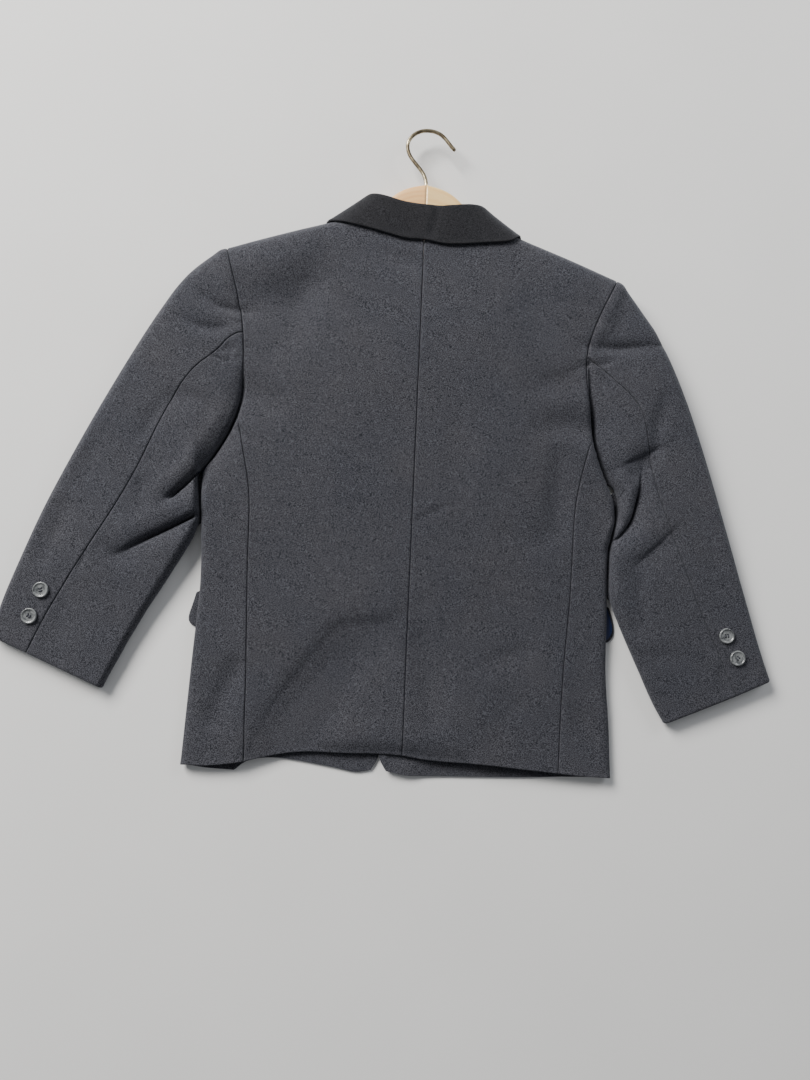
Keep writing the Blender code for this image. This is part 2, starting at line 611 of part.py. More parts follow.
def hanger():
    """Two joined wooden halves and the wire hook screwed between them."""
    angles = np.radians(np.arange(0, 360, 30))
    squircle = np.stack([np.sign(np.cos(angles)) * np.abs(np.cos(angles)) ** 0.7,
                         np.sign(np.sin(angles)) * np.abs(np.sin(angles)) ** 0.7], axis=1) * 0.5
    bore = loft("hook_bore", [[(JOINT_X + 2.3 * c, y, HANGER_Z + 2.3 * s) for c, s in
                               zip(np.cos(angles), np.sin(angles))] for y in (549, 580)], "wood")
    bore.hide_render = True
    bore.display_type = "WIRE"
    for side, sign in (("left", -1), ("right", 1)):
        rings = []
        for xt, yt, xb, yb, t in ARM:
            drop = 6 * smooth(xt / 190) if side == "right" else 0
            a = np.array([JOINT_X + sign * xt, yt - drop])
            b = np.array([JOINT_X + sign * xb, yb - drop])
            rings.append([(*((a + b) / 2 + (a - b) * u), HANGER_Z + t * w) for u, w in squircle])
        half = loft(f"hanger_half_{side}", rings, "wood")
        cut = half.modifiers.new("bore", "BOOLEAN")
        cut.operation = "DIFFERENCE"
        cut.solver = "EXACT"
        cut.object = bore
    line = path(HOOK, 2)
    turns = np.radians(np.arange(0, 360, 40))
    rings = []
    for share in np.linspace(0, 1, 33):
        step = unit(line(min(share + 0.01, 1)) - line(max(share - 0.01, 0)))
        r = 1.9 if 0 < share < 1 else 1.3
        rings.append([(*(line(share) + np.array([step[1], -step[0]]) * r * c), HANGER_Z + r * s)
                      for c, s in zip(np.cos(turns), np.sin(turns))])
    loft("hanger_hook", rings, "brass")


GRIDS = body_and_sleeves()
collar()
for half in PLAN:
    lapel(half)
    flap(half)
    for number, spot in enumerate(CUFF_BUTTONS[half], 1):
        height, tilt = surface_at(GRIDS[f"top_sleeve_{half}"], *spot)
        button(f"cuff_button_{half}_{number}", np.array([*spot, height]) + tilt * 0.45, tilt)
for number, spot in enumerate(FRONT_BUTTONS, 1):
    button(f"front_button_{number}", (*spot, 3.4), (0, 0, -1), 9.0, 3.2)
hanger()
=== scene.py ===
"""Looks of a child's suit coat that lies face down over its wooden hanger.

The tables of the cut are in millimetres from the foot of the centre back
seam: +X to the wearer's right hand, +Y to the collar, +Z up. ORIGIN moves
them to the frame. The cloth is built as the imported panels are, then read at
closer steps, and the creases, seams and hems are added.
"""

import bmesh
import bpy
import numpy as np
from mathutils import Matrix, Vector


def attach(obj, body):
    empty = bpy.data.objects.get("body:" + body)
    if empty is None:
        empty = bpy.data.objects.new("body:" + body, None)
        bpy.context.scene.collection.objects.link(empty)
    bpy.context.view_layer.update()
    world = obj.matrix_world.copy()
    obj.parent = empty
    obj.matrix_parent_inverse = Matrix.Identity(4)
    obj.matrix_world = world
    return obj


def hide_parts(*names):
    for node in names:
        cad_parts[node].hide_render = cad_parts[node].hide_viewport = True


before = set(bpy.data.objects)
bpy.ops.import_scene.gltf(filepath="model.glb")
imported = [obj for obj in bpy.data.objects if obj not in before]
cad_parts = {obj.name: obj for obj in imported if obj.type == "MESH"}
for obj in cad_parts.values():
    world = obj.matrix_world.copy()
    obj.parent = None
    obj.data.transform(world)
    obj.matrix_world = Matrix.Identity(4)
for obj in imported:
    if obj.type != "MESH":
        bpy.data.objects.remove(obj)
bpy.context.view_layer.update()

ORIGIN = np.array([-19.0, 305.5, 0.0])
# Cloth walls, and how far each panel is drawn back from a seam
CLOTH = 1.6
COLLAR_CLOTH = 1.7
SEAM = 0.25
# Reach in plan of the side folds and the shoulder fold, and the cloth's run over half the latter
FOLD = 9.0
SHOULDER_FOLD = 14.0
SHOULDER_ARC = 23.5
# The nape, half the neck's width, and the level on the centre seam where the armholes start
NECK_Y = 516.0
NECK_HALF = 70.0
CORNER_Y = 330.0
# Shoulder tip (x, y) and how the shoulder line climbs from it towards the neck
SHOULDER = {"left": (-196, 488, 0.322), "right": (198, 477, -0.382)}
# Share of a step along Y that goes square to the shoulder line
SQUARE = 0.945
# Height of the lying coat at the hem and over the hanger
HEM_HEIGHT, HANGER_HEIGHT = 11.0, 32.0
# How far one front lifts the other where they cross
FRONT_OVER_FRONT = 3.2
# Shares of a sleeve's outer fold: to the second the rows fan out from the
# underarm, and past it they step evenly
FAN = (0, 0.45, 1)

# Each table runs from the hem up, or from the armhole down to the cuff
PLAN = {
    "left": {
        "side": -1,
        "hem": [(0, -2), (-23, -1), (-53, -2), (-91, -1), (-118, -5), (-138, -10), (-149, -12.5)],
        "side_hem": [(-149, -12.5), (-160, -15), (-185, -18), (-208, -18)],
        "seam": [(-149, -12.5), (-151, 57), (-154, 125), (-157, 185), (-157, 224), (-160, 255),
                 (-168, 288), (-176, 325)],
        "armhole": [(-176, 325), (-171, 355), (-172, 388), (-176, 418), (-184, 449), (-196, 488)],
        "edge": [(-208, -18), (-206, 37), (-204, 91), (-202, 131), (-201, 161), (-204, 210),
                 (-206, 234), (-206, 267)],
        "front_seam": [(-158, -21.5), (-160, 100), (-157, 200), (-163, 285), (-170, 322)],
        "front_armhole": [(-170, 322), (-164, 348), (-162, 380), (-166, 415), (-177, 452), (-196, 488)],
        "front_hem": [(-29, -17), (-38, -19.5), (-46, -19), (-80, -13), (-118, -8), (-142, -10.5),
                      (-153, -15.5), (-158, -21.5)],
        "front_side_hem": [(-158, -21.5), (-172, -23), (-187, -19.5), (-208, -18)],
        "front_edge": [(-29, -17), (-24, -10), (-20, 3), (-12, 35), (-6, 90), (-3, 160), (-3, 252),
                       (-21, 330)],
        "break_line": [(-21, 330), (-53, 472), (-58, 497), (-66, 515), (-75, 527)],
        "top": [(0, NECK_Y), (-25, 517), (-52, 521), (-75, 527), (-98, 520.5), (-128, 510.5), (-164, 499),
                (-196, 488)],
        "front_top": [(-75, 527), (-98, 520.5), (-128, 510.5), (-164, 499), (-196, 488)],
        "outer": [(-196, 488), (-207, 483), (-221, 471), (-237, 455), (-250, 434), (-268, 403), (-290, 361),
                  (-313, 314), (-342, 250), (-357, 214), (-372, 171), (-386, 130), (-394, 95)],
        "inner": [(-206, 267), (-211.3, 263), (-210.9, 255), (-209.1, 246), (-207.4, 236), (-206.5, 224),
                  (-205.8, 212), (-209, 200), (-217.3, 183), (-228.5, 163), (-237.6, 146), (-247, 131),
                  (-257, 111), (-266, 94), (-272.5, 79), (-279.5, 65), (-286, 50)],
        "hindarm": [(-176, 411), (-185, 397), (-197, 380), (-223.5, 358.5), (-248.5, 309), (-263, 269.5),
                    (-285.5, 222.5), (-309, 181.5), (-328.5, 144.5), (-345, 112), (-358, 80)],
        "forearm": [(-170, 322), (-186, 304), (-207, 285), (-223, 262), (-229, 232), (-236, 200), (-251, 166),
                    (-270, 128), (-287, 93), (-303, 56)],
    },
    "right": {
        "side": 1,
        "hem": [(0, -2), (27, -6), (74, -7), (121, -11), (149, -13)],
        "side_hem": [(149, -13), (157, -14), (200, -16)],
        "seam": [(149, -13), (150, 30), (152, 89), (157, 148), (158, 188), (159, 240), (164, 270),
                 (170, 295), (175, 320)],
        "armhole": [(175, 320), (170.5, 345), (165.5, 377), (167, 400), (175.5, 430), (198, 477)],
        "edge": [(200, -16), (198, 37), (195, 68), (194, 94), (195, 129), (194, 181), (195, 212),
                 (202, 238), (197, 258), (190, 272)],
        "front_seam": [(152, -17), (153, 100), (150, 200), (156, 280), (164, 318)],
        "front_armhole": [(164, 318), (158, 343), (157, 378), (161, 415), (174, 446), (198, 477)],
        "front_hem": [(-15, -17), (-4, -20), (11, -21), (59, -20), (115, -19), (152, -17)],
        "front_side_hem": [(152, -17), (170, -16.5), (200, -16)],
        "front_edge": [(-15, -17), (-20, -11), (-22, -3), (-29, 35), (-34, 90), (-37, 160), (-37, 252),
                       (-7, 330)],
        "break_line": [(-7, 330), (52, 472), (58, 493), (66, 508), (75, 524)],
        "top": [(0, NECK_Y), (27, 516.5), (52, 518), (75, 524), (102, 514.5), (132, 502.5), (160, 492),
                (198, 477)],
        "front_top": [(75, 524), (102, 514.5), (132, 502.5), (160, 492), (198, 477)],
        "outer": [(198, 477), (207, 471), (219, 453), (239, 427), (257, 391), (278, 338), (296, 282),
                  (309, 237), (322, 193), (334, 152), (344, 117), (356, 82)],
        "inner": [(190, 272), (200.2, 265), (203.3, 257), (204.4, 247), (203.5, 238), (200.5, 226),
                  (197.1, 212), (196.3, 196), (196, 180), (196.2, 165), (197.5, 152), (200.5, 144),
                  (207, 128), (217, 106), (227, 85), (236.5, 64), (245.5, 47), (252, 37)],
        "hindarm": [(167, 390), (181, 383), (196, 369.5), (210.5, 357.5), (225, 339), (230, 307),
                    (239.5, 262), (257, 218), (284, 148), (299, 115), (321, 66)],
        "forearm": [(164, 318), (180, 302), (200, 284), (214, 260), (221, 236), (217, 208), (218, 178),
                    (224, 148), (240, 106), (268, 42)],
    },
}
# Lowest heights over what lies between the coat and the table: corners, lift
UNDER = {
    "left": [
        ([(-213, 108), (-103, 108), (-103, 153), (-213, 153)], 3.4),
        ([(-3, 252), (-51, 486), (-112, 455), (-96, 400)], 2.7),
        ([(-51, 478), (-70, 545), (-110, 520), (-108, 462)], 3.6),
        ([(-34, 136), (-6, 136), (-6, 164), (-34, 164)], 3.9),
        ([(-34, 226), (-6, 226), (-6, 254), (-34, 254)], 3.9),
    ],
    "right": [
        ([(204, 110), (96, 110), (96, 153), (204, 153)], 3.4),
        ([(-16, 307), (52, 484), (112, 452), (94, 400)], 2.7),
        ([(50, 474), (68, 542), (110, 516), (106, 458)], 3.6),
    ],
}


def path(points, rounds=3):
    """A curve rounded off its table, read by the share of its length."""
    p = np.array(points, float)
    for _ in range(rounds):
        near = 0.75 * p[:-1] + 0.25 * p[1:]
        far = 0.25 * p[:-1] + 0.75 * p[1:]
        p = np.vstack([p[:1], np.stack([near, far], axis=1).reshape(-1, p.shape[1])[1:-1], p[-1:]])
    run = np.concatenate([[0], np.cumsum(np.linalg.norm(np.diff(p, axis=0), axis=1))])
    return lambda share: np.stack([np.interp(np.asarray(share) * run[-1], run, p[:, k])
                                   for k in range(p.shape[1])], axis=-1)


def smooth(t):
    t = np.clip(t, 0, 1)
    return t * t * (3 - 2 * t)


def round_off(distance, reach):
    """Rise of a rounded edge, 0 at the edge and 1 from its reach on."""
    t = 1 - np.clip(distance / reach, 0, 1)
    return np.sqrt(np.clip(1 - t * t, 0, 1))


def thick(x, y):
    """Whole height of the lying body over the table."""
    middle = HEM_HEIGHT + (HANGER_HEIGHT - HEM_HEIGHT) * smooth((y - 50) / 450)
    return middle * (1 - 0.15 * (x / 200) ** 2)


def shoulder_line(side, x):
    tip_x, tip_y, climb = SHOULDER[side]
    return tip_y + (x - tip_x) * climb


def shoulder_reach(side, x, y):
    """Distance in plan below the shoulder line."""
    return (shoulder_line(side, x) - y) * SQUARE


def lift(side, x, y):
    """How far the under surface stands off the table."""
    up = np.zeros(np.broadcast(x, y).shape)
    for corners, height in UNDER[side]:
        c = np.array(corners, float)
        step = np.roll(c, -1, axis=0) - c
        turn = np.sign(step[0, 0] * step[1, 1] - step[0, 1] * step[1, 0])
        inside = np.full(up.shape, 1e9)
        for (cx, cy), (sx, sy) in zip(c, step):
            inside = np.minimum(inside, turn * (sx * (y - cy) - sy * (x - cx)) / np.hypot(sx, sy))
        up = np.maximum(up, height * smooth((inside + 30) / 17))
    if side == "right":
        over = smooth((28 - x) / 22) * smooth((368 - y) / 36)
        up = np.maximum(up, over * (lift("left", x, y) + FRONT_OVER_FRONT))
    return up


def upper(side, x, y, rise=1.0):
    """Height of the upper face, rounded down to mid height at the shoulder."""
    t = thick(x, y)
    return t / 2 + t / 2 * round_off(shoulder_reach(side, x, y), SHOULDER_FOLD) * rise


def lower(side, x, y, rise=1.0):
    """Height of the lower face, rounded up to mid height at the shoulder."""
    mid = thick(x, y) / 2
    rounded = round_off(shoulder_reach(side, x, y), SHOULDER_FOLD)
    return mid - (mid - lift(side, x, y)) * rounded * rise


def patch(near, far, start, end, across, along):
    """Plan grid between two long edges, its first and last rows on their own curves."""
    n, f, u = near(along), far(along), across[:, None]
    rows = []
    for k, v in enumerate(along):
        row = n[k] * (1 - u) + f[k] * u
        row = row + (1 - v) * (start(across) - (near(0) * (1 - u) + far(0) * u))
        row = row + v * (end(across) - (near(1) * (1 - u) + far(1) * u))
        rows.append(row)
    return np.array(rows)


def half_body(side):
    """Outer surface grids of the back, side and front panels of one half."""
    p = PLAN[side]
    low = np.linspace(0, 1, 15)
    up = np.concatenate([np.linspace(0, 0.9, 7), [0.955, 0.988, 1.0]])
    across = np.linspace(0, 1, 10)
    seam, armhole = path(p["seam"]), path(p["armhole"], 2)
    front_seam, front_armhole = path(p["front_seam"]), path(p["front_armhole"], 2)
    front_low, front_up = path(p["front_edge"]), path(p["break_line"], 2)
    edge = path(p["edge"])
    hem, top = path(p["hem"]), path(p["top"], 2)
    front_hem, front_top = path(p["front_hem"], 2), path(p["front_top"], 1)

    def straight(a, b):
        return lambda share: np.asarray(a) + np.asarray(share)[..., None] * (np.asarray(b) - np.asarray(a))

    foot, corner, nape = np.array(p["hem"][0], float), np.array([0, CORNER_Y]), np.array([0, NECK_Y])
    back = np.vstack([
        patch(straight(foot, corner), seam, hem, straight(corner, seam(1)), across, low),
        patch(straight(corner, nape), armhole, straight(corner, seam(1)), top, across, up)[1:],
    ])
    back = np.dstack([back, upper(side, back[..., 0], back[..., 1])])

    low_front = low ** 1.25
    front = np.vstack([
        patch(front_low, lambda s: front_seam(np.interp(s, low_front, low)), front_hem,
              straight(front_low(1), front_seam(1)), across, low_front),
        patch(front_up, front_armhole, straight(front_low(1), front_seam(1)), front_top, across, up)[1:],
    ])
    front = np.dstack([front, lower(side, front[..., 0], front[..., 1])])

    a, e, f = seam(low), edge(low), front_seam(low)
    side_hem, front_side_hem = path(p["side_hem"], 1), path(p["front_side_hem"], 1)
    angles = np.radians([90, 60, 30, 0])
    columns = []
    for share in (0, 0.3, 0.65):
        bend = (1 - low)[:, None] * (side_hem(share) - (a[0] * (1 - share) + e[0] * share)) * 0.9
        xy = a + (e - a) * share + bend
        columns.append(np.column_stack([xy, upper(side, *xy.T)]))
    out = (e - a) / np.linalg.norm(e - a, axis=1)[:, None]
    for t in angles:
        xy = e - out * FOLD * (1 - np.cos(t))
        columns.append(np.column_stack([xy, upper(side, *xy.T, np.sin(t))]))
    out = (e - f) / np.linalg.norm(e - f, axis=1)[:, None]
    for t in angles[::-1][1:]:
        xy = e - out * FOLD * (1 - np.cos(t))
        columns.append(np.column_stack([xy, lower(side, *xy.T, np.sin(t))]))
    for share in (0.5, 1):
        bend = (1 - low)[:, None] * (front_side_hem(1 - share) - (e[0] * (1 - share) + f[0] * share))
        xy = e + (f - e) * share + bend
        columns.append(np.column_stack([xy, lower(side, *xy.T)]))
    flank = np.array(columns).transpose(1, 0, 2)
    return back, flank, front


def across_sleeve(outer, seam, inner, reach, count, seam_at):
    """Plan points and rise from the outer fold over a seam to the inner fold."""
    points, rise = np.zeros((count, 2)), np.ones(count)
    to_seam, to_inner = unit(seam - outer), unit(inner - seam)
    for c in range(count):
        k = count - 1 - c
        turn = np.radians(30 * min(c, k, 3))
        if c <= 3:
            points[c] = outer + to_seam * reach * (1 - np.cos(turn))
        elif k <= 3:
            points[c] = inner - to_inner * reach * (1 - np.cos(turn))
        elif c <= seam_at:
            start = outer + to_seam * reach
            points[c] = start + (seam - start) * (c - 3) / (seam_at - 3)
        else:
            end = inner - to_inner * reach
            points[c] = seam + (end - seam) * (c - seam_at) / (count - 4 - seam_at)
        rise[c] = np.sin(turn)
    return points, rise


SLEEVE_ROWS = np.concatenate([[0, 0.02], np.linspace(0.06, 1, 23)])
SLEEVE_HEIGHTS = [25, 25, 21, 16, 12]


def sleeve_height(share):
    """Whole height of the lying sleeve from its head to the cuff."""
    return np.interp(share, [0, 0.25, 0.5, 0.75, 1], SLEEVE_HEIGHTS)


def armhole_pull(share):
    """How strongly the armhole still shapes the sleeve that far down it."""
    return (1 - smooth(share / 0.42)) ** 1.5


def sleeve(side, back, flank, front):
    """Outer surface grid of a whole sleeve, a closed ring of columns per row."""
    p = PLAN[side]
    outer, inner = path(p["outer"]), path(p["inner"])
    corner = len(flank) - 1
    above = len(back) - 1 - corner
    arm = np.vstack([back[:corner:-1, -1], flank[-1], front[corner + 1:-1, -1]])
    under, fore_at, count = above + 6, above + len(flank[0]) - 1, len(arm)
    seam_at = int(np.argmin(np.linalg.norm(arm[:under, :2] - p["hindarm"][0], axis=1)))
    hind = path([arm[seam_at, :2], *p["hindarm"][1:]])
    fore = path([arm[fore_at, :2], *p["forearm"][1:]])
    grid = []
    for v in SLEEVE_ROWS:
        o, i = outer(v), inner(np.interp(v, FAN, (0, 0.1, 1)))
        h, f = hind(np.interp(v, FAN, (0, 0.33, 1))), fore(np.interp(v, FAN, (0, 0.26, 1)))
        full = sleeve_height(v)
        reach = full * 0.5
        top, top_rise = across_sleeve(o, h, i, reach, under + 1, seam_at)
        low, low_rise = across_sleeve(o, f, i, reach, count - under + 1, count - fore_at)
        upper_z = full / 2 + full / 2 * top_rise
        lower_z = full / 2 - full / 2 * low_rise
        ring = np.vstack([np.column_stack([top, upper_z]), np.column_stack([low, lower_z])[-2:0:-1]])
        if v == 0:
            pull = arm - ring
        grid.append(ring + pull * armhole_pull(v))
    grid = np.array(grid)
    grid[0] = arm
    return grid, seam_at, fore_at


def unit(v):
    return v / np.maximum(np.linalg.norm(v, axis=-1, keepdims=True), 1e-9)


def grid_normals(grid, closed=False):
    if closed:
        across = np.roll(grid, -1, axis=1) - np.roll(grid, 1, axis=1)
    else:
        across = np.gradient(grid, axis=1)
    return unit(np.cross(across, np.gradient(grid, axis=0)))


def share_normals(grids, normals):
    """Give points that several pieces share one common normal."""
    sums = {}
    for name, grid in grids.items():
        for point, n in zip(grid.reshape(-1, 3), normals[name].reshape(-1, 3)):
            key = tuple(np.round(point * 4).astype(int))
            sums[key] = sums.get(key, np.zeros(3)) + n
    for name, grid in grids.items():
        keys = [tuple(np.round(q * 4).astype(int)) for q in grid.reshape(-1, 3)]
        normals[name] = unit(np.array([sums[k] for k in keys])).reshape(grid.shape)


def draw_in(grid):
    """Pull the four borders back from the seams."""
    out = grid.copy()
    out[0] += unit(grid[1] - grid[0]) * SEAM
    out[-1] += unit(grid[-2] - grid[-1]) * SEAM
    out[:, 0] += unit(grid[:, 1] - grid[:, 0]) * SEAM
    out[:, -1] += unit(grid[:, -2] - grid[:, -1]) * SEAM
    return out


def between(points, at):
    """A smooth line through rows of points, read at fractional row numbers."""
    ends = 2 * points[[0, -1]] - points[[1, -2]]
    p = np.concatenate([ends[:1], points, ends[1:]])
    row = np.clip(np.floor(at).astype(int), 0, len(points) - 2)
    t = (np.asarray(at) - row).reshape(-1, *[1] * (points.ndim - 1))
    a, b, c, d = p[row], p[row + 1], p[row + 2], p[row + 3]
    return b + t / 2 * (c - a + t * (2 * a - 5 * b + 4 * c - d + t * (3 * b - a - 3 * c + d)))


def stops(count, size, fine, tight=True):
    """Even steps between rows that are size mm apart, and closer ones beside both borders."""
    near = np.array([0.35, 0.75, 1.2, 1.8, 2.6, 3.8, 5.5]) / size
    rows = [np.linspace(0, count - 1, (count - 1) * fine + 1)]
    if tight:
        rows += [near, count - 1 - near]
    every = np.unique(np.round(np.concatenate(rows), 4))
    return every[np.append(np.diff(every) > 0.25 / size, True)]


def finer(grid, rows, columns):
    return between(between(grid, rows).transpose(1, 0, 2), columns).transpose(1, 0, 2)


def runs(grid, axis):
    """Length on the cloth from the first row or column."""
    step = np.linalg.norm(np.diff(grid, axis=axis), axis=-1)
    start = np.zeros_like(np.take(step, [0], axis=axis))
    return np.concatenate([start, np.cumsum(step, axis=axis)], axis=axis)


# Creases of the upper side. Each is a line of points with the
# share of its depth there, then its depth, how wide the cloth on the line's
# left rolls into it, how wide the other side rises, how proud the roll stands,
# and how far it leans over the crease
CREASES = [
    ([(-233, 239, 0.7), (-220, 252, 1), (-208, 267, 1), (-197, 282, 0.9), (-190, 295, 0.9),
      (-182, 310, 0.75), (-176, 327, 0.45), (-173, 344, 0.2), (-172, 363, 0.05)], 5, 10, 13, 1.8, 2),
    ([(-233, 239, 0.8), (-220, 252, 1), (-208, 267, 1), (-197, 282, 1), (-190, 295, 1),
      (-182, 310, 0.9), (-176, 327, 0.6), (-173, 344, 0.3), (-172, 363, 0.1)], 10, 3.6, 4.6, 0, 1.5),
    ([(-289, 175, 0.1), (-276, 182, 0.5), (-267, 189, 0.8), (-258, 195, 1), (-243, 203, 1),
      (-230, 210, 1), (-221, 215, 1), (-213, 219, 0.9), (-210, 220, 0.4)], 5, 13, 12, 1.4, 2.5),
    ([(-276, 182, 0.05), (-267, 189, 0.3), (-258, 195, 0.7), (-243, 203, 1),
      (-230, 210, 1), (-221, 215, 1), (-213, 219, 0.9), (-210, 220, 0.4)], 8, 5, 4.4, 0, 1.5),
    ([(-224, 442, 0.15), (-211, 434, 0.55), (-198, 427, 0.9), (-188, 425, 1),
      (-179, 424, 0.8)], 4.4, 15, 7, 0.5, 1.9),
    ([(-235, 413, 0.3), (-222, 407, 0.7), (-209, 404, 1), (-197, 405, 0.8),
      (-187, 408, 0.3)], 3.3, 13, 7, 0.4, 1.6),
    ([(-201, 376, 0.2), (-195, 372, 1), (-186, 372, 1), (-178, 374, 0.7),
      (-174, 376, 0.2)], 2.2, 3.4, 1.6, 0.4, 0.6),
    ([(-318, 159, 0.2), (-314, 169, 1), (-309, 179, 0.3)], 1.2, 3, 4, 0.2, 0.3),
    ([(200, 234, 0.5), (198, 250, 0.9), (191, 265, 1), (184, 281, 1), (179, 295, 1), (175, 308, 1),
      (174, 322, 0.9), (172, 336, 0.8), (170, 350, 0.6), (169, 369, 0.3),
      (168, 388, 0.1)], 8, 5, 15, 0.8, 2),
    ([(200, 234, 0.5), (198, 250, 0.9), (191, 265, 1), (184, 281, 1), (179, 295, 1), (175, 308, 0.9),
      (174, 322, 0.75), (172, 336, 0.5), (170, 350, 0.35), (169, 369, 0.2),
      (168, 388, 0.1)], 8, 3.6, 5.6, 0, 1),
    ([(198.5, 213.5, 0.5), (204, 221, 1), (213, 234, 1), (217, 250, 1), (221, 267, 0.7),
      (224, 281, 0.2)], 6, 7, 13, 2.4, 2.5),
    ([(198.5, 213.5, 0.5), (204, 221, 1), (213, 234, 1), (217, 250, 0.5), (221, 267, 0.15),
      (224, 281, 0)], 7, 3.4, 4.2, 0, 1.5),
    ([(204, 287, 0.4), (219, 295, 1), (233, 303, 0.9), (245, 309, 0.2)], 4.6, 13, 16, 0.8, 2),
    ([(172, 407, 0.5), (190, 406, 1), (213, 408, 1), (237, 411, 0.5)], 4.4, 14, 8, 0.5, 1.6),
    ([(174, 389, 0.3), (185, 388, 0.8), (198, 395, 0.2)], 2.6, 8, 5, 0.3, 0.8),
    ([(217, 186, 0.2), (228, 198, 0.8), (240, 209, 1), (252, 221, 0.6)], 3.6, 13, 17, 0.6, 1.1),
    ([(-142, 4, 0.7), (-131, 34, 1), (-111, 64, 1), (-89, 94, 1), (-66, 121, 0.7),
      (-54, 130, 0.2)], 1.4, 13, 30, 0.5, 1),
    ([(-66, 120, 0.5), (-41, 123, 1), (-23, 125, 0.9), (-8, 134, 0.3)], 1.6, 12, 26, 0.3, 0.3),
    ([(7, 226, 0.9), (26, 235, 1), (46, 245, 0.3)], 1.1, 5, 3, 0.3, 0.3),
    ([(144, 374, 0.2), (156, 381, 0.8), (167, 387, 1)], 1.4, 6, 3.5, 0.3, 0.3),
    ([(-170, 304, 1), (-158, 298, 0.8), (-141, 291, 0.2)], 1.4, 7, 6, 0.2, 0.3),
]
# Creases of the lower side: the same points, depth and two widths
UNDER_CREASES = [
    ([(-170, 318, 0), (-140, 296, 1), (-108, 286, 0)], 1.6, 7, 7),
    ([(-172, 296, 0), (-150, 268, 1), (-128, 244, 0)], 1.2, 6, 6),
    ([(-60, 300, 0), (-78, 240, 1), (-84, 180, 0)], 1.2, 12, 12),
    ([(-40, 96, 0), (-70, 60, 1), (-84, 12, 0.6)], 1.4, 10, 10),
    ([(-140, 96, 0), (-150, 50, 1), (-144, 6, 0.6)], 1.0, 8, 8),
    ([(166, 312, 0), (138, 292, 1), (104, 284, 0)], 1.5, 7, 7),
    ([(168, 290, 0), (142, 262, 1), (122, 250, 0)], 1.1, 6, 6),
    ([(50, 300, 0), (72, 238, 1), (76, 176, 0)], 1.2, 12, 12),
    ([(40, 100, 0), (66, 64, 1), (82, 14, 0.6)], 1.3, 11, 11),
    ([(136, 92, 0), (146, 48, 1), (140, 4, 0.6)], 0.9, 8, 8),
    ([(-208, 226, 1), (-236, 212, 1), (-262, 208, 0)], 3.0, 6, 3),
    ([(-222, 330, 0), (-250, 306, 1), (-262, 276, 0)], 1.6, 8, 8),
    ([(-180, 404, 0.8), (-206, 410, 1), (-236, 424, 0)], 1.8, 7, 4),
    ([(-276, 120, 0), (-306, 104, 1), (-338, 100, 0)], 1.1, 8, 8),
    ([(204, 226, 1), (226, 214, 1), (252, 214, 0)], 2.8, 5, 3),
    ([(222, 322, 0), (244, 300, 1), (252, 268, 0)], 1.5, 8, 8),
    ([(176, 396, 0.8), (204, 402, 1), (230, 414, 0)], 1.7, 7, 4),
    ([(236, 110, 0), (264, 100, 1), (296, 104, 0)], 1.1, 8, 8),
]
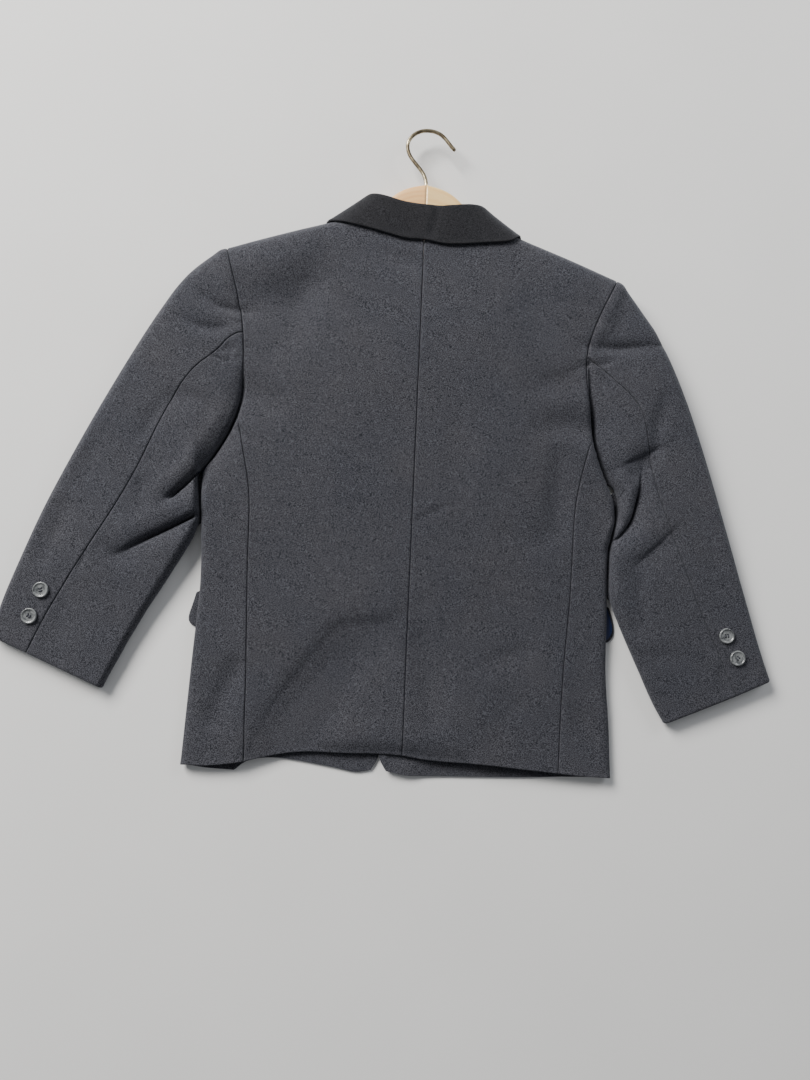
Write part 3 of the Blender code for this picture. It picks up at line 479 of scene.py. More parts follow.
# Soft hollows of the upper side, and swells where the depth is below nought:
# the same points, depth, half width
HOLLOWS = [
    ([(-235, 333, 0.6), (-219, 332, 1), (-202, 323, 0.5)], 2.5, 9),
    ([(-243, 330, 0.6), (-254, 312, 1), (-263, 295, 0.6)], 1.8, 8),
    ([(-261, 244, 1), (-260, 223, 0.6)], 1.8, 7),
    ([(-305, 287, 0.5), (-313, 267, 1), (-319, 248, 0.6)], 1.7, 10),
    ([(-332, 220, 0.8), (-340, 197, 1), (-351, 170, 0.8)], 1.8, 9),
    ([(-296, 183, 0.8), (-273, 173, 1), (-257, 172, 0.3)], 1.8, 8),
    ([(-331, 148, 0.4), (-323, 122, 1), (-328, 103, 0.5)], 1.3, 11),
    ([(-183, 383, 1), (-195, 379, 0.5)], 1.4, 5),
    ([(201, 454, 0.6), (200, 426, 1)], 1.7, 7),
    ([(246, 354, 0.5), (240, 330, 1), (238, 308, 0.8)], 3.1, 8),
    ([(218, 277, 1), (231, 284, 0.4)], 2.2, 8),
    ([(222, 192, 0.8), (226, 172, 1), (225, 154, 0.7), (225, 129, 0.9)], 1.8, 9),
    ([(279, 265, 0.5), (290, 233, 1), (301, 194, 0.6)], 1.4, 7),
    ([(231, 96, 0.6), (251, 103, 1), (268, 102, 0.5)], 1.3, 9),
    ([(306, 87, 1), (309, 74, 0.8)], 1.1, 6),
    ([(-179, 440, 0.7), (-157, 429, 1), (-136, 431, 1), (-116, 450, 0.9), (-97, 471, 0.4)], 3.6, 20),
    ([(-112, 447, 0.8), (-118, 417, 1), (-136, 386, 0.5)], 2.8, 18),
    ([(-178, 462, 0.7), (-156, 474, 1), (-122, 488, 0.7)], -4.5, 30),
    ([(176, 446, 0.7), (150, 468, 1), (116, 482, 0.6)], -3.5, 28),
    ([(-114, -16, 0.8), (-103, 15, 1), (-83, 45, 1), (-61, 75, 0.9), (-38, 102, 0.5)], 5.2, 26),
    ([(-104, -3, 0.5), (-52, -2, 1), (0, -2, 1), (60, -7, 0.5)], 4.6, 9),
    ([(-36, 483, 0.6), (-12, 477, 1), (-4, 476, 0.5)], 2.0, 9),
    ([(-166, 341, 0.9), (-140, 331, 0.8)], 4, 16),
    ([(120, 362, 0.5), (140, 366, 1), (163, 370, 0.3)], 3.2, 13),
    ([(121, 316, 0.3), (144, 325, 0.9), (169, 322, 1)], 4.6, 14),
    ([(143, 292, 0.6), (142, 255, 1), (141, 216, 0.7)], 3.2, 12),
    ([(97, 216, 0.8), (120, 206, 1)], 1.4, 12),
    ([(96, 489, 0.5), (117, 452, 1), (126, 423, 0.5)], 3.4, 20),
    ([(39, 329, 0.4), (51, 296, 1), (41, 267, 0.5)], 1.3, 18),
    ([(-97, 367, 0.4), (-109, 321, 1), (-98, 277, 0.5)], 1.1, 16),
    ([(-162, 74, 0.9), (-171, 53, 1), (-179, 27, 0.8)], 3.2, 11),
    ([(71, 86, 0.6), (96, 94, 1), (117, 102, 0.5)], 1.5, 8),
    ([(11, 102, 0.7), (24, 72, 1), (27, 34, 0.7)], 3.2, 14),
    ([(168, 39, 1), (175, 21, 0.7)], 1.4, 9),
    ([(-19, 44, 0.5), (-49, 31, 1), (-84, 18, 0.6)], 1.7, 20),
    ([(91, 24, 0.6), (103, 48, 1)], 1.3, 14),
]
# Soft waves over a whole lying panel: across and along per mm, turn, height
WAVES = [(0.041, 0.013, 0.4, 0.30), (-0.022, 0.031, 1.9, 0.34), (0.015, -0.052, 3.1, 0.20),
         (0.067, 0.044, 5.0, 0.12), (-0.083, 0.061, 2.2, 0.08)]


# A crease is felt this many times its width away, and a narrow one has a steep wall
CREASE_REACH = 2.6
NARROW = 7
# The cloth is never pressed lower than this over the table
LEAST_HEIGHT = 6


def off_line(line, x, y, reach):
    """Which points lie near a line, how far aside they are, the line's share of depth and the way left.

    The side to the line's left counts as positive."""
    p = path(line)(np.linspace(0, 1, 33))
    near = (x > p[:, 0].min() - reach) & (x < p[:, 0].max() + reach)
    near &= (y > p[:, 1].min() - reach) & (y < p[:, 1].max() + reach)
    q = np.stack([x[near], y[near]], axis=-1)
    if not len(q):
        return near, np.zeros(0), np.zeros(0), q
    a, step = p[:-1, :2], np.diff(p[:, :2], axis=0)
    t = np.clip(((q[:, None] - a) * step).sum(-1) / (step ** 2).sum(-1), 0, 1)
    off = q[:, None] - a - t[..., None] * step
    gap = np.linalg.norm(off, axis=-1)
    k = gap.argmin(axis=1)
    rows = np.arange(len(k))
    off, t, step = off[rows, k], t[rows, k], unit(step)[k]
    left = np.stack([-step[:, 1], step[:, 0]], axis=-1)
    aside = (off * left).sum(-1)
    ends = ((k == 0) & (t == 0)) | ((k == len(a) - 1) & (t == 1))
    beyond = (off * step).sum(-1)
    strength = p[k, 2] * (1 - t) + p[k + 1, 2] * t
    strength = np.where(ends, strength * np.exp(-(beyond / (0.35 * reach)) ** 2), strength)
    side = np.where(ends, aside, gap[rows, k] * np.sign(aside))
    return near, side, strength, left


def roll_profile(side, depth, roll, soft, lip):
    """Height across a crease: its left side rolls over into it, the other side rises out of it."""
    over = depth * (1 - np.sqrt(1 - (1 - np.clip(side / roll, 0, 1)) ** 2))
    under = depth * np.exp(-(np.minimum(side, 0) / soft) ** (6 if soft < NARROW else 2))
    proud = lip * np.exp(-((side - roll) / (0.8 * roll)) ** 2)
    return proud - np.where(side > 0, over, under)


def creased(points, facing, top):
    """Cloth points moved by the creases, hollows and soft waves; the lying layers keep their order."""
    x, y, z = points[..., 0], points[..., 1], points[..., 2]
    rise, aside = np.zeros(x.shape), np.zeros((*x.shape, 2))
    for line, depth, roll, soft, lip, over in CREASES:
        near, side, strength, left = off_line(line, x, y, CREASE_REACH * max(roll, soft))
        rise[near] += roll_profile(side, depth, roll, soft, lip) * strength
        lean = over * strength * np.exp(-((side - 0.3 * roll) / (0.45 * roll)) ** 2)
        aside[near] -= left * lean[:, None]
    for line, depth, half in HOLLOWS:
        near, side, strength, _ = off_line(line, x, y, CREASE_REACH * half)
        rise[near] -= depth * np.exp(-(side / half) ** 2) * strength
    for across, along, turn, height in WAVES:
        rise += height * np.sin(across * x + along * y + turn)
    rise = np.maximum(rise, LEAST_HEIGHT - top)
    share = np.clip(z / top, 0, 1)
    for line, depth, roll, soft in UNDER_CREASES:
        near, side, strength, _ = off_line(line, x, y, CREASE_REACH * max(roll, soft))
        low = smooth(facing[..., 2][near] * -2.2)
        rise[near] = rise[near] * (1 - low) - roll_profile(side, depth, roll, soft, 0) * strength * low
        share[near] = np.maximum(share[near], low)
    moved = points.copy()
    moved[..., :2] += aside * share[..., None]
    moved[..., 2] += rise * share
    return moved


EDGE_ROUND = 0.8
HEM_TURN = 30.0
HEM_EXTRA = 0.5
# A seam sinks by its depth within its width, and a low ridge stands beside it
SEAM_DEPTH, SEAM_WIDTH = 0.7, 0.7
RIDGE_HEIGHT, RIDGE_AT, RIDGE_WIDTH = 0.1, 3.4, 2.2
# Lowest the cloth comes to the table
GROUND = 0.03


def shell(name, grid, normals, borders, thickness=CLOTH, high=0.0, warp=(0, 1)):
    """A thin closed shell of cloth on a grid of outer points, with turned seams and rounded edges.

    The borders name the kind of the first and last row, then of the first and
    last column: seam, hem or edge."""
    across, along = runs(grid, 1), runs(grid, 0)
    gaps = [along, along[-1:] - along, across, across[:, -1:] - across]
    outer_rise = np.zeros(across.shape) + high
    inner_rise = np.zeros(across.shape) + high
    for gap, kind in zip(gaps, borders):
        if kind == "seam":
            dip = -SEAM_DEPTH * np.exp(-(gap / SEAM_WIDTH) ** 2)
            dip += RIDGE_HEIGHT * np.exp(-((gap - RIDGE_AT) / RIDGE_WIDTH) ** 2)
            outer_rise += dip
            inner_rise += dip
        if kind in ("hem", "edge"):
            t = 1 - np.clip(gap / EDGE_ROUND, 0, 1)
            close = thickness * 0.42 * (1 - np.sqrt(1 - t * t))
            outer_rise -= close
            inner_rise += close
            outer_rise += 0.2 * np.exp(-((gap - 1.6) / 1.6) ** 2)
        if kind == "hem":
            inner_rise -= HEM_EXTRA * smooth((HEM_TURN - gap) / 1.5)
    drawn = draw_in(grid)
    outer = drawn + normals * outer_rise[..., None]
    inner = drawn - normals * (thickness - inner_rise)[..., None]
    outer[..., 2] = np.maximum(outer[..., 2], GROUND)
    inner[..., 2] = np.maximum(inner[..., 2], GROUND + 0.3 * thickness)
    rows, columns = grid.shape[:2]
    at = np.arange(rows * columns).reshape(rows, columns)
    under = at + rows * columns
    front_faces = [at[:-1, :-1], at[:-1, 1:], at[1:, 1:], at[1:, :-1]]
    back_faces = [under[:-1, :-1], under[1:, :-1], under[1:, 1:], under[:-1, 1:]]
    front_faces = np.stack(front_faces, axis=-1).reshape(-1, 4)
    back_faces = np.stack(back_faces, axis=-1).reshape(-1, 4)
    rims = []
    for line, flip in ((at[0], 1), (at[-1], 0), (at[:, 0], 0), (at[:, -1], 1)):
        beneath = line + rows * columns
        rim = np.stack([line[:-1], line[1:], beneath[1:], beneath[:-1]], axis=-1)
        rims.append(rim[:, ::-1] if flip else rim)
    faces = np.vstack([front_faces, *rims, back_faces])
    points = np.vstack([outer.reshape(-1, 3), inner.reshape(-1, 3)])
    inside = np.zeros(len(faces), int)
    from_hems = [gap for gap, kind in zip(gaps, borders) if kind == "hem"] or [across * 0]
    deep = np.minimum.reduce(from_hems) > HEM_TURN
    inside[-len(back_faces):] = deep[:-1, :-1].reshape(-1)
    return piece(name, points, faces, None, inside, warp)


def piece(name, points, faces, grain=None, inside=None, warp=(0, 1)):
    """A mesh from points in table millimetres, with its own grain, or a cloth's that runs along warp."""
    mesh = bpy.data.meshes.new(name)
    points = np.asarray(points)
    mesh.from_pydata(((points - ORIGIN) / 1000).tolist(), [], [list(map(int, f)) for f in faces])
    if grain is None:
        turn = np.array([[warp[1], -warp[0], 0], [warp[0], warp[1], 0], [0, 0, 1]])
        grain = points @ turn.T
    grain_of = mesh.attributes.new("grain", "FLOAT_VECTOR", "POINT")
    grain_of.data.foreach_set("vector", np.asarray(grain, np.float32).reshape(-1))
    if inside is not None:
        mesh.polygons.foreach_set("material_index", np.asarray(inside, np.int32))
    mesh.polygons.foreach_set("use_smooth", [True] * len(mesh.polygons))
    bm = bmesh.new()
    bm.from_mesh(mesh)
    bmesh.ops.recalc_face_normals(bm, faces=bm.faces)
    bm.to_mesh(mesh)
    bm.free()
    mesh.validate()
    made = bpy.data.objects.new(name, mesh)
    bpy.context.scene.collection.objects.link(made)
    return made


def rings_piece(name, rings, cloth=False, shift=0.0):
    """A closed solid through rings of equal count, its ends capped.

    The grain of a wire or an arm runs through the rings."""
    rings = np.asarray(rings, float)
    count, around = rings.shape[:2]
    faces = [list(range(around))[::-1], list(range((count - 1) * around, count * around))]
    for i in range(count - 1):
        for j in range(around):
            k = (j + 1) % around
            faces.append([i * around + j, i * around + k, (i + 1) * around + k, (i + 1) * around + j])
    if cloth:
        return piece(name, rings.reshape(-1, 3), faces)
    middle = rings.mean(axis=1)
    run = np.concatenate([[0], np.cumsum(np.linalg.norm(np.diff(middle, axis=0), axis=1))])
    off = rings - middle[:, None]
    grain = np.dstack([np.repeat(run[:, None], around, axis=1), off[..., 1], off[..., 2]]) + shift
    return piece(name, rings.reshape(-1, 3), faces, grain.reshape(-1, 3))


def sleeve_cap(points):
    """Fullness of the sleeve's head, where it is eased into the armhole."""
    return 0.9 * np.exp(-((runs(points, 0) - 7) / 6) ** 2) * smooth((points[..., 1] - 330) / 60)


def sleeve_top(points, rows):
    """Whole height of the lying cloth at each point of a sleeve."""
    share = np.interp(rows, np.arange(len(SLEEVE_ROWS)), SLEEVE_ROWS)[:, None]
    body = armhole_pull(share)
    return thick(points[..., 0], points[..., 1]) * body + sleeve_height(share) * (1 - body)


def turned_with(points, facing, sign):
    """The facing of a panel, turned with its creases but kept beside the seams."""
    across, along = runs(points, 1), runs(points, 0)
    from_border = np.minimum(np.minimum(across, across[:, -1:] - across),
                             np.minimum(along, along[-1:] - along))
    turned = grid_normals(points) * sign
    return unit(facing + (turned - facing) * 0.8 * smooth(from_border / 4)[..., None])


def coat_body():
    """The back, sides, fronts and two-piece sleeves, read at close steps."""
    made = {}
    for side in PLAN:
        sign = PLAN[side]["side"]
        back, flank, front = half_body(side)
        tube, seam_at, fore_at = sleeve(side, back, flank, front)
        tube_normals = grid_normals(tube, closed=True) * sign
        top_order = np.r_[np.arange(fore_at, tube.shape[1]), np.arange(0, seam_at + 1)]
        under_order = np.arange(seam_at, fore_at + 1)
        grids = {
            f"back_{side}": back,
            f"side_{side}": flank,
            f"front_{side}": front,
            f"top_sleeve_{side}": tube[:, top_order],
            f"under_sleeve_{side}": tube[:, under_order],
        }
        normals = {
            f"back_{side}": grid_normals(back) * sign,
            f"side_{side}": grid_normals(flank) * sign,
            f"front_{side}": -grid_normals(front) * sign,
            f"top_sleeve_{side}": tube_normals[:, top_order],
            f"under_sleeve_{side}": tube_normals[:, under_order],
        }
        share_normals(grids, normals)
        for name, grid in grids.items():
            on_shoulder = shoulder_reach(side, grid[..., 0], grid[..., 1]) < 1.2
            normals[name][on_shoulder & (np.abs(grid[..., 0]) > NECK_HALF), 2] = 0
            kind = name[:-len(side) - 1]
            row_size, column_size, row_steps, column_steps, borders = STEPS[kind]
            rows = stops(len(grid), row_size, row_steps, borders[0] == "hem")
            columns = stops(grid.shape[1], column_size, column_steps)
            fine = finer(grid, rows, columns)
            facing = unit(finer(unit(normals[name]), rows, columns))
            if "sleeve" in kind:
                cap, top, warp = sleeve_cap(fine), sleeve_top(fine, rows), SLEEVE_WARP[side]
                fine = tucked_in(side, fine, facing)
            else:
                cap, top, warp = 0, thick(fine[..., 0], fine[..., 1]), (0, 1)
            fine = creased(fine, facing, top)
            facing = turned_with(fine, facing, -sign if kind == "front" else sign)
            made[name] = shell(f"{name}_cloth", fine, facing, borders, high=cap, warp=warp)
    return made


# Direction of the threads down each sleeve
SLEEVE_WARP = {"left": (0.347, 0.938), "right": (-0.375, 0.927)}
# Where a sleeve lies against the body: from and to y, how far its lower edge is tucked under the side's
TUCKED = {"left": (206, 264, 7.0), "right": (150, 264, 7.2)}


def tucked_in(side, points, facing):
    """Under the arm the sleeve's inner edge sits low, tucked under the rolled side."""
    low, high, far = TUCKED[side]
    sign = PLAN[side]["side"]
    x, y, z = points[..., 0], points[..., 1], points[..., 2]
    toward = smooth(-sign * facing[..., 0] * 2.5)
    along = smooth((y - low) / 12) * smooth((high - y) / 7)
    far = far + 3.4 * np.exp(-((y - 256) / 9) ** 2)
    moved = points.copy()
    moved[..., 0] = x - sign * toward * along * far * np.exp(-((z - 3.2) / 2.8) ** 2)
    return moved


# Of each panel's grid: mm between rows and between columns, steps read for
# each, and the kinds of the first and last row and column
STEPS = {
    "back": (23, 17, 7, 7, ("hem", "seam", "seam", "seam")),
    "side": (23, 10, 7, 6, ("hem", "seam", "seam", "seam")),
    "front": (23, 17, 7, 7, ("hem", "seam", "edge", "seam")),
    "top_sleeve": (17, 12, 10, 6, ("seam", "hem", "seam", "seam")),
    "under_sleeve": (17, 12, 10, 7, ("seam", "hem", "seam", "seam")),
}


# Collar stations from the nape to the gorge: leaf edge on the body (x, y and
# which face it lies on), roll line (x, y, z), neck seam (x, y, z)
COLLAR = {
    "left": [
        (0, 497, 1, 0, 537.5, 34, 0, 518, 31.2),
        (-33, 505, 1, -22, 539.5, 34, -24, 519, 31.2),
        (-60, 511.5, 1, -42, 545.5, 33.2, -45, 522.8, 31),
        (-82, 515, 1, -53, 548, 30, -60, 527.5, 28),
        (-93, 517, 1, -58, 547.5, 25, -68.5, 531.5, 22),
        (-99, 519.5, 0, -60, 547, 18, -73.5, 531.5, 16),
        (-101, 514, -1, -59, 544, 11, -69.5, 526.5, 9.5),
        (-102, 505, -1, -56, 536, 5.5, -65, 516.5, 6.2),
        (-102, 492, -1, -53, 520, 4.2, -59.5, 505, 5.4),
        (-100, 480, -1, -51, 502, 3.8, -56, 494, 5.2),
        (-97, 471, -1, -49, 488, 3.6, -53.5, 484, 5),
    ],
    "right": [
        (0, 497, 1, 0, 537.5, 34, 0, 518, 31.2),
        (33, 498, 1, 22, 537, 34, 24, 518.5, 31.2),
        (58, 501.5, 1, 42, 541, 33.2, 45, 520, 31),
        (80, 504, 1, 54, 542, 30, 60, 524.5, 28),
        (92, 507, 1, 60, 541.5, 25, 68, 529, 22),
        (99, 512.5, 0, 62, 541, 18, 72.5, 529, 16),
        (101, 508, -1, 61, 539, 11, 68.5, 523.5, 9.5),
        (102, 498, -1, 57, 530, 5.5, 63, 511.5, 6.4),
        (102, 486, -1, 54, 514, 4.2, 59, 499, 5.4),
        (100, 474, -1, 51, 496, 3.8, 55.5, 488, 5.2),
        (97, 465, -1, 48, 482, 3.6, 52.5, 478, 5),
    ],
}


def nape_line(x):
    """The two shoulder lines, eased together behind the neck."""
    share = smooth((x + 24) / 48)
    return shoulder_line("left", x) * (1 - share) + shoulder_line("right", x) * share


def over_shoulder(x, y, face):
    """Distance on the cloth from the shoulder edge, upper side positive."""
    reach = (nape_line(x) - y) * SQUARE
    turn = np.arccos(1 - np.clip(reach / SHOULDER_FOLD, 0, 1)) / (np.pi / 2)
    return face * (SHOULDER_ARC * turn + max(reach - SHOULDER_FOLD, 0))


def off_body(x, run, amount):
    """A point off the body at a distance over the shoulder edge."""
    side = "left" if x < 0 else "right"
    turn = min(abs(run) / SHOULDER_ARC, 1) * np.pi / 2
    reach = SHOULDER_FOLD * (1 - np.cos(turn)) + max(abs(run) - SHOULDER_ARC, 0)
    y = nape_line(x) - reach / SQUARE
    high = upper(side, x, y) if run > 0 else lower(side, x, y)
    outward = unit(np.array([-SHOULDER[side][2], 1]))
    plan = np.array([x, y]) + outward * np.cos(turn) * amount
    return np.array([*plan, high + np.sign(run) * np.sin(turn) * amount])


def collar():
    """Leaf, roll and stand as one folded shell round the neck."""
    stations = []
    for side, rows in COLLAR.items():
        table = [[r[0], over_shoulder(*r[:3]), *r[3:]] for r in rows]
        stations = table[::-1] + stations if side == "left" else stations + table[1:]
    line = path(stations, 2)
    centre, normals = [], []
    for share in np.linspace(0, 1, 201):
        x, run, *rest = line(share)
        leaf, roll, stand = off_body(x, run, 2.0), np.array(rest[:3]), np.array(rest[3:])
        ahead = line(min(share + 0.01, 1))[2:5] - line(max(share - 0.01, 0))[2:5]
        out = unit(roll - (leaf + stand) / 2)
        off = unit(np.cross(out, ahead))
        off *= np.sign(np.dot(leaf - stand, off)) or 1
        over_roll = roll + off * 1.5
        legs = np.array([leaf, leaf * 0.62 + over_roll * 0.38, leaf * 0.22 + over_roll * 0.78,
                         roll + off * 1.3 - out * 1.2, roll, roll - off * 1.3 - out * 1.2,
                         stand * 0.4 + (roll - off * 1.4) * 0.6, stand])
        legs = between(legs, COLLAR_LEGS)
        centre.append(legs)
        normals.append(-unit(np.cross(unit(np.gradient(legs, axis=0)), unit(ahead))))
    centre, normals = np.array(centre), np.array(normals)
    high = collar_press(centre, normals[..., 2])
    grid = centre + normals * COLLAR_CLOTH / 2
    return shell("collar_cloth", grid, normals, ("edge", "edge", "edge", "edge"), COLLAR_CLOTH, high)


# Where the collar's eight legs are read, from the leaf's edge over the roll to the neck seam
COLLAR_LEGS = np.unique(np.round(np.concatenate([
    [0.02, 0.05, 0.09, 0.15], np.linspace(0, 2, 17), np.linspace(2, 6, 33), np.linspace(6, 7, 5),
]), 3))


def collar_press(points, facing):
    """The upright crease in the middle of the leaf and the soft hollows beside it."""
    x, y = points[..., 0], points[..., 1]
    leaf = smooth(facing * 3) * smooth((y - 503) / 8)
    crease = -1.3 * np.exp(-((x - 10 - (y - 520) * 0.2) / 4.5) ** 2)
    hollow = -0.7 * np.exp(-((x + 14) / 12) ** 2) + 0.35 * np.exp(-((x - 26) / 10) ** 2)
    return (crease + hollow) * leaf


# Lapels: lowest and highest y on the break line, and the outer edge from there
LAPELS = {
    "left": (258, 482, [(-8, 258), (-50, 330), (-84, 400), (-106, 440), (-113, 453)]),
    "right": (337, 475, [(1, 337), (48, 375), (84, 412), (106, 438), (113, 449)]),
}


def lapel(side):
    """The turned lapel under the front, with its roll beside the front's edge."""
    p = PLAN[side]
    shares = np.linspace(0, 1, 60)
    edge = np.vstack([path(p["front_edge"])(shares), path(p["break_line"], 2)(shares)[1:]])
    edge = edge[np.argmax(edge[:, 1] > 200):]
    bottom, top, outline = LAPELS[side]
    outer = path(outline, 2)
    rings, round_it = [], np.linspace(0, 14, 85)
    for v in np.linspace(0, 1, 91):
        y = bottom + (top - bottom) * v
        fold = np.array([np.interp(y, edge[:, 1], edge[:, 0]), y])
        reach = np.linalg.norm(outer(v) - fold)
        out = (outer(v) - fold) / reach
        section = np.array([
            (reach, 1.1), (reach - 0.5, 0.15), (reach * 0.66, 0.1), (reach * 0.33, 0.1), (1, 0.1),
            (-1.4, 0.5), (-2.4, 1.6), (-2.4, 3.1), (-1.5, 4.2), (-0.4, 4.0), (-0.2, 2.1),
            (reach * 0.33, 2.1), (reach * 0.66, 2.1), (reach - 0.5, 2.05), (reach, 1.1),
        ])
        section = between(section, round_it)[:-1]
        rings.append([(*(fold + out * e), max(z, 0.05)) for e, z in section])
    return rings_piece(f"lapel_{side}_cloth", rings, cloth=True)


def slab(name, outline, low, high, soft):
    """A flat piece with a rounded edge between two heights."""
    line = path([*outline, outline[0]], 2)(np.linspace(0, 1, 181)[:-1])
    middle = line.mean(axis=0)
    inward = unit(middle - line)
    section = ((9, low), (4, low), (soft, low), (soft * 0.3, low + soft * 0.3), (0, low + soft),
               (0, high - soft), (soft * 0.3, high - soft * 0.3), (soft, high), (4, high), (9, high))
    rings = []
    for inset, height in section:
        ring = line + inward * inset
        rings.append(np.column_stack([ring, np.full(len(ring), height)]))
    return rings_piece(name, rings, cloth=True)


FLAPS = {
    "left": [(-105, 152), (-204, 151), (-208, 134), (-212, 120), (-209, 113.5), (-203, 111), (-115, 111),
             (-107, 114), (-104, 122)],
    "right": [(98, 152), (196, 153), (202, 137), (204, 122), (200.5, 115), (195, 111.5), (108, 111),
              (100, 114), (97, 122)],
}


def flap(side):
    """A pocket flap and its lining, which is cut a little smaller."""
    outline = np.array(FLAPS[side], float)
    middle = (outline.min(axis=0) + outline.max(axis=0)) / 2
    inset = np.array([9.0, 2.5]) if side == "left" else np.array([2.0, 2.0])
    small = outline - np.sign(outline - middle) * np.minimum(inset, np.abs(outline - middle) * 0.8)
    return (slab(f"pocket_flap_{side}_cloth", outline, 0.1, 1.35, 0.45),
            slab(f"flap_lining_{side}_satin", small, 1.65, 2.5, 0.3))


# Radius and height of the buttons
CUFF_BUTTON = (7.5, 3.0)
FRONT_BUTTON = (9.0, 3.2)
# Button rim and dish as shares of the radius and of the height, from the back round to the dish
BUTTON_PROFILE = [(0.5, 0.0), (0.8, 0.02), (0.92, 0.14), (0.985, 0.36), (1.0, 0.55), (0.985, 0.76),
                  (0.945, 0.92), (0.89, 0.995), (0.84, 0.98), (0.79, 0.88), (0.745, 0.76), (0.69, 0.69),
                  (0.62, 0.67)]
# Middles of the four holes of a cuff button
HOLES = [(1.25, 1.25), (-1.25, 1.25), (-1.25, -1.25), (1.25, -1.25)]


def lathe(profile, count):
    """Rings turned about the upright axis from radii and heights."""
    turn = np.linspace(0, 2 * np.pi, count, endpoint=False)
    return [np.column_stack([r * np.cos(turn), r * np.sin(turn), np.full(count, z)]) for r, z in profile]


def drilled_disc(radius, high):
    """A rimmed four-hole button about its own middle, as a mesh in table millimetres."""
    scale = radius / CUFF_BUTTON[0]
    rings = lathe([(r * radius, z * high) for r, z in BUTTON_PROFILE], 72)
    disc = rings_piece("disc", np.array(rings) + ORIGIN)
    drills = []
    for x, y in HOLES:
        tube = np.array(lathe([(0.8 * scale, -1), (0.8 * scale, high + 1)], 24))
        tube = tube + np.array([x * scale, y * scale, 0])
        drills.append(rings_piece("drill", tube + ORIGIN))
    for drill in drills:
        cut = disc.modifiers.new("hole", "BOOLEAN")
        cut.operation = "DIFFERENCE"
        cut.solver = "EXACT"
        cut.object = drill
    bpy.context.view_layer.update()
    mesh = bpy.data.meshes.new_from_object(disc.evaluated_get(bpy.context.evaluated_depsgraph_get()))
    points = np.array([v.co for v in mesh.vertices]) * 1000
    faces = [list(f.vertices) for f in mesh.polygons]
    for spare in (disc, *drills):
        bpy.data.objects.remove(spare, do_unlink=True)
    return points, faces


def frame_of(up):
    """Axes of a piece that stands on a surface with that normal."""
    turn = Vector((0, 0, 1)).rotation_difference(Vector(up)).to_matrix()
    return np.array(turn)


def stitches(name, at, axes, high, scale):
    """The sewing thread through the four holes of a button, in two bars of three strands."""
    points, faces, grain = [], [], []
    around = np.linspace(0, 2 * np.pi, 8, endpoint=False)
    for a, b in ((0, 1), (3, 2)):
        start, end = np.array(HOLES[a]) * scale, np.array(HOLES[b]) * scale
        step = unit(end - start)
        across = np.array([-step[1], step[0]])
        for k, aside in enumerate((-0.36, 0.0, 0.36)):
            arc = np.linspace(0, np.pi, 13)
            share = (1 - np.cos(arc)) / 2
            in_hole = np.abs(np.cos(arc)) > 0.97
            rise = high * 0.67 + (0.42 + 0.1 * (k == 1)) * np.sin(arc) ** 0.6 - 0.35 * in_hole
            base = len(points)
            for s, z in zip(share, rise):
                spot = start + (end - start) * s + across * aside * (0.6 + 0.4 * np.sin(s * np.pi))
                for t in around:
                    off = across * np.cos(t) * 0.2
                    points.append((*(spot + off), z + 0.2 * np.sin(t)))
                    grain.append((s * 3, np.cos(t) * 0.2, np.sin(t) * 0.2))
            for i in range(len(arc) - 1):
                first, second = base + i * 8, base + (i + 1) * 8
                for j in range(8):
                    n = (j + 1) % 8
                    faces.append([first + j, first + n, second + n, second + j])
            faces.append([base + j for j in range(8)][::-1])
            faces.append([base + (len(arc) - 1) * 8 + j for j in range(8)])
    return piece(name, np.array(points) @ axes.T + at, faces, grain)


def buttons(sleeves):
    """Every button with its thread; each turns its holes its own way."""
    made = {}
    discs = {size: drilled_disc(*size) for size in (CUFF_BUTTON, FRONT_BUTTON)}
    spots = []
    for side, table in CUFF_BUTTONS.items():
        for number, spot in enumerate(table, 1):
            height, tilt = surface_at(sleeves[side], *spot)
            at = np.array([*spot, height]) + tilt * 0.45
            spots.append((f"cuff_button_{side}_{number}", at, tilt, CUFF_BUTTON))
    for number, spot in enumerate(FRONT_BUTTONS, 1):
        at = np.array([*spot, 3.4])
        spots.append((f"front_button_{number}", at, np.array([0, 0, -1.0]), FRONT_BUTTON))
    for k, (name, at, tilt, size) in enumerate(spots):
        points, faces = discs[size]
        turn = np.radians(17 + 41 * k)
        spin = np.array([[np.cos(turn), -np.sin(turn), 0], [np.sin(turn), np.cos(turn), 0], [0, 0, 1]])
        axes = frame_of(tilt) @ spin
        made[name] = piece(f"{name}_resin", points @ axes.T + at, faces, points + (k * 13.0, k * 7.0, 0))
        made[name].data.set_sharp_from_angle(angle=np.radians(38))
        thread = name.replace("button", "thread")
        made[thread] = stitches(thread, at, axes, size[1], size[0] / CUFF_BUTTON[0])
    return made


def surface_at(made, x, y):
    """Height and normal of a sleeve's upper surface."""
    q = np.array([v.co for v in made.data.vertices]) * 1000 + ORIGIN
    q = q[q[:, 2] > 6.5]
    q = q[np.argsort(np.hypot(q[:, 0] - x, q[:, 1] - y))[:40]]
    plan = np.column_stack([q[:, 0] - x, q[:, 1] - y, np.ones(len(q))])
    fit, *_ = np.linalg.lstsq(plan, q[:, 2], rcond=None)
    return fit[2], unit(np.array([-fit[0], -fit[1], 1.0]))


CUFF_BUTTONS = {"left": [(-348, 140), (-357, 115)], "right": [(310, 124), (321, 103)]}
FRONT_BUTTONS = [(-20, 150), (-20, 240)]
HANGER_Z = 14.5
JOINT_X = 0.6
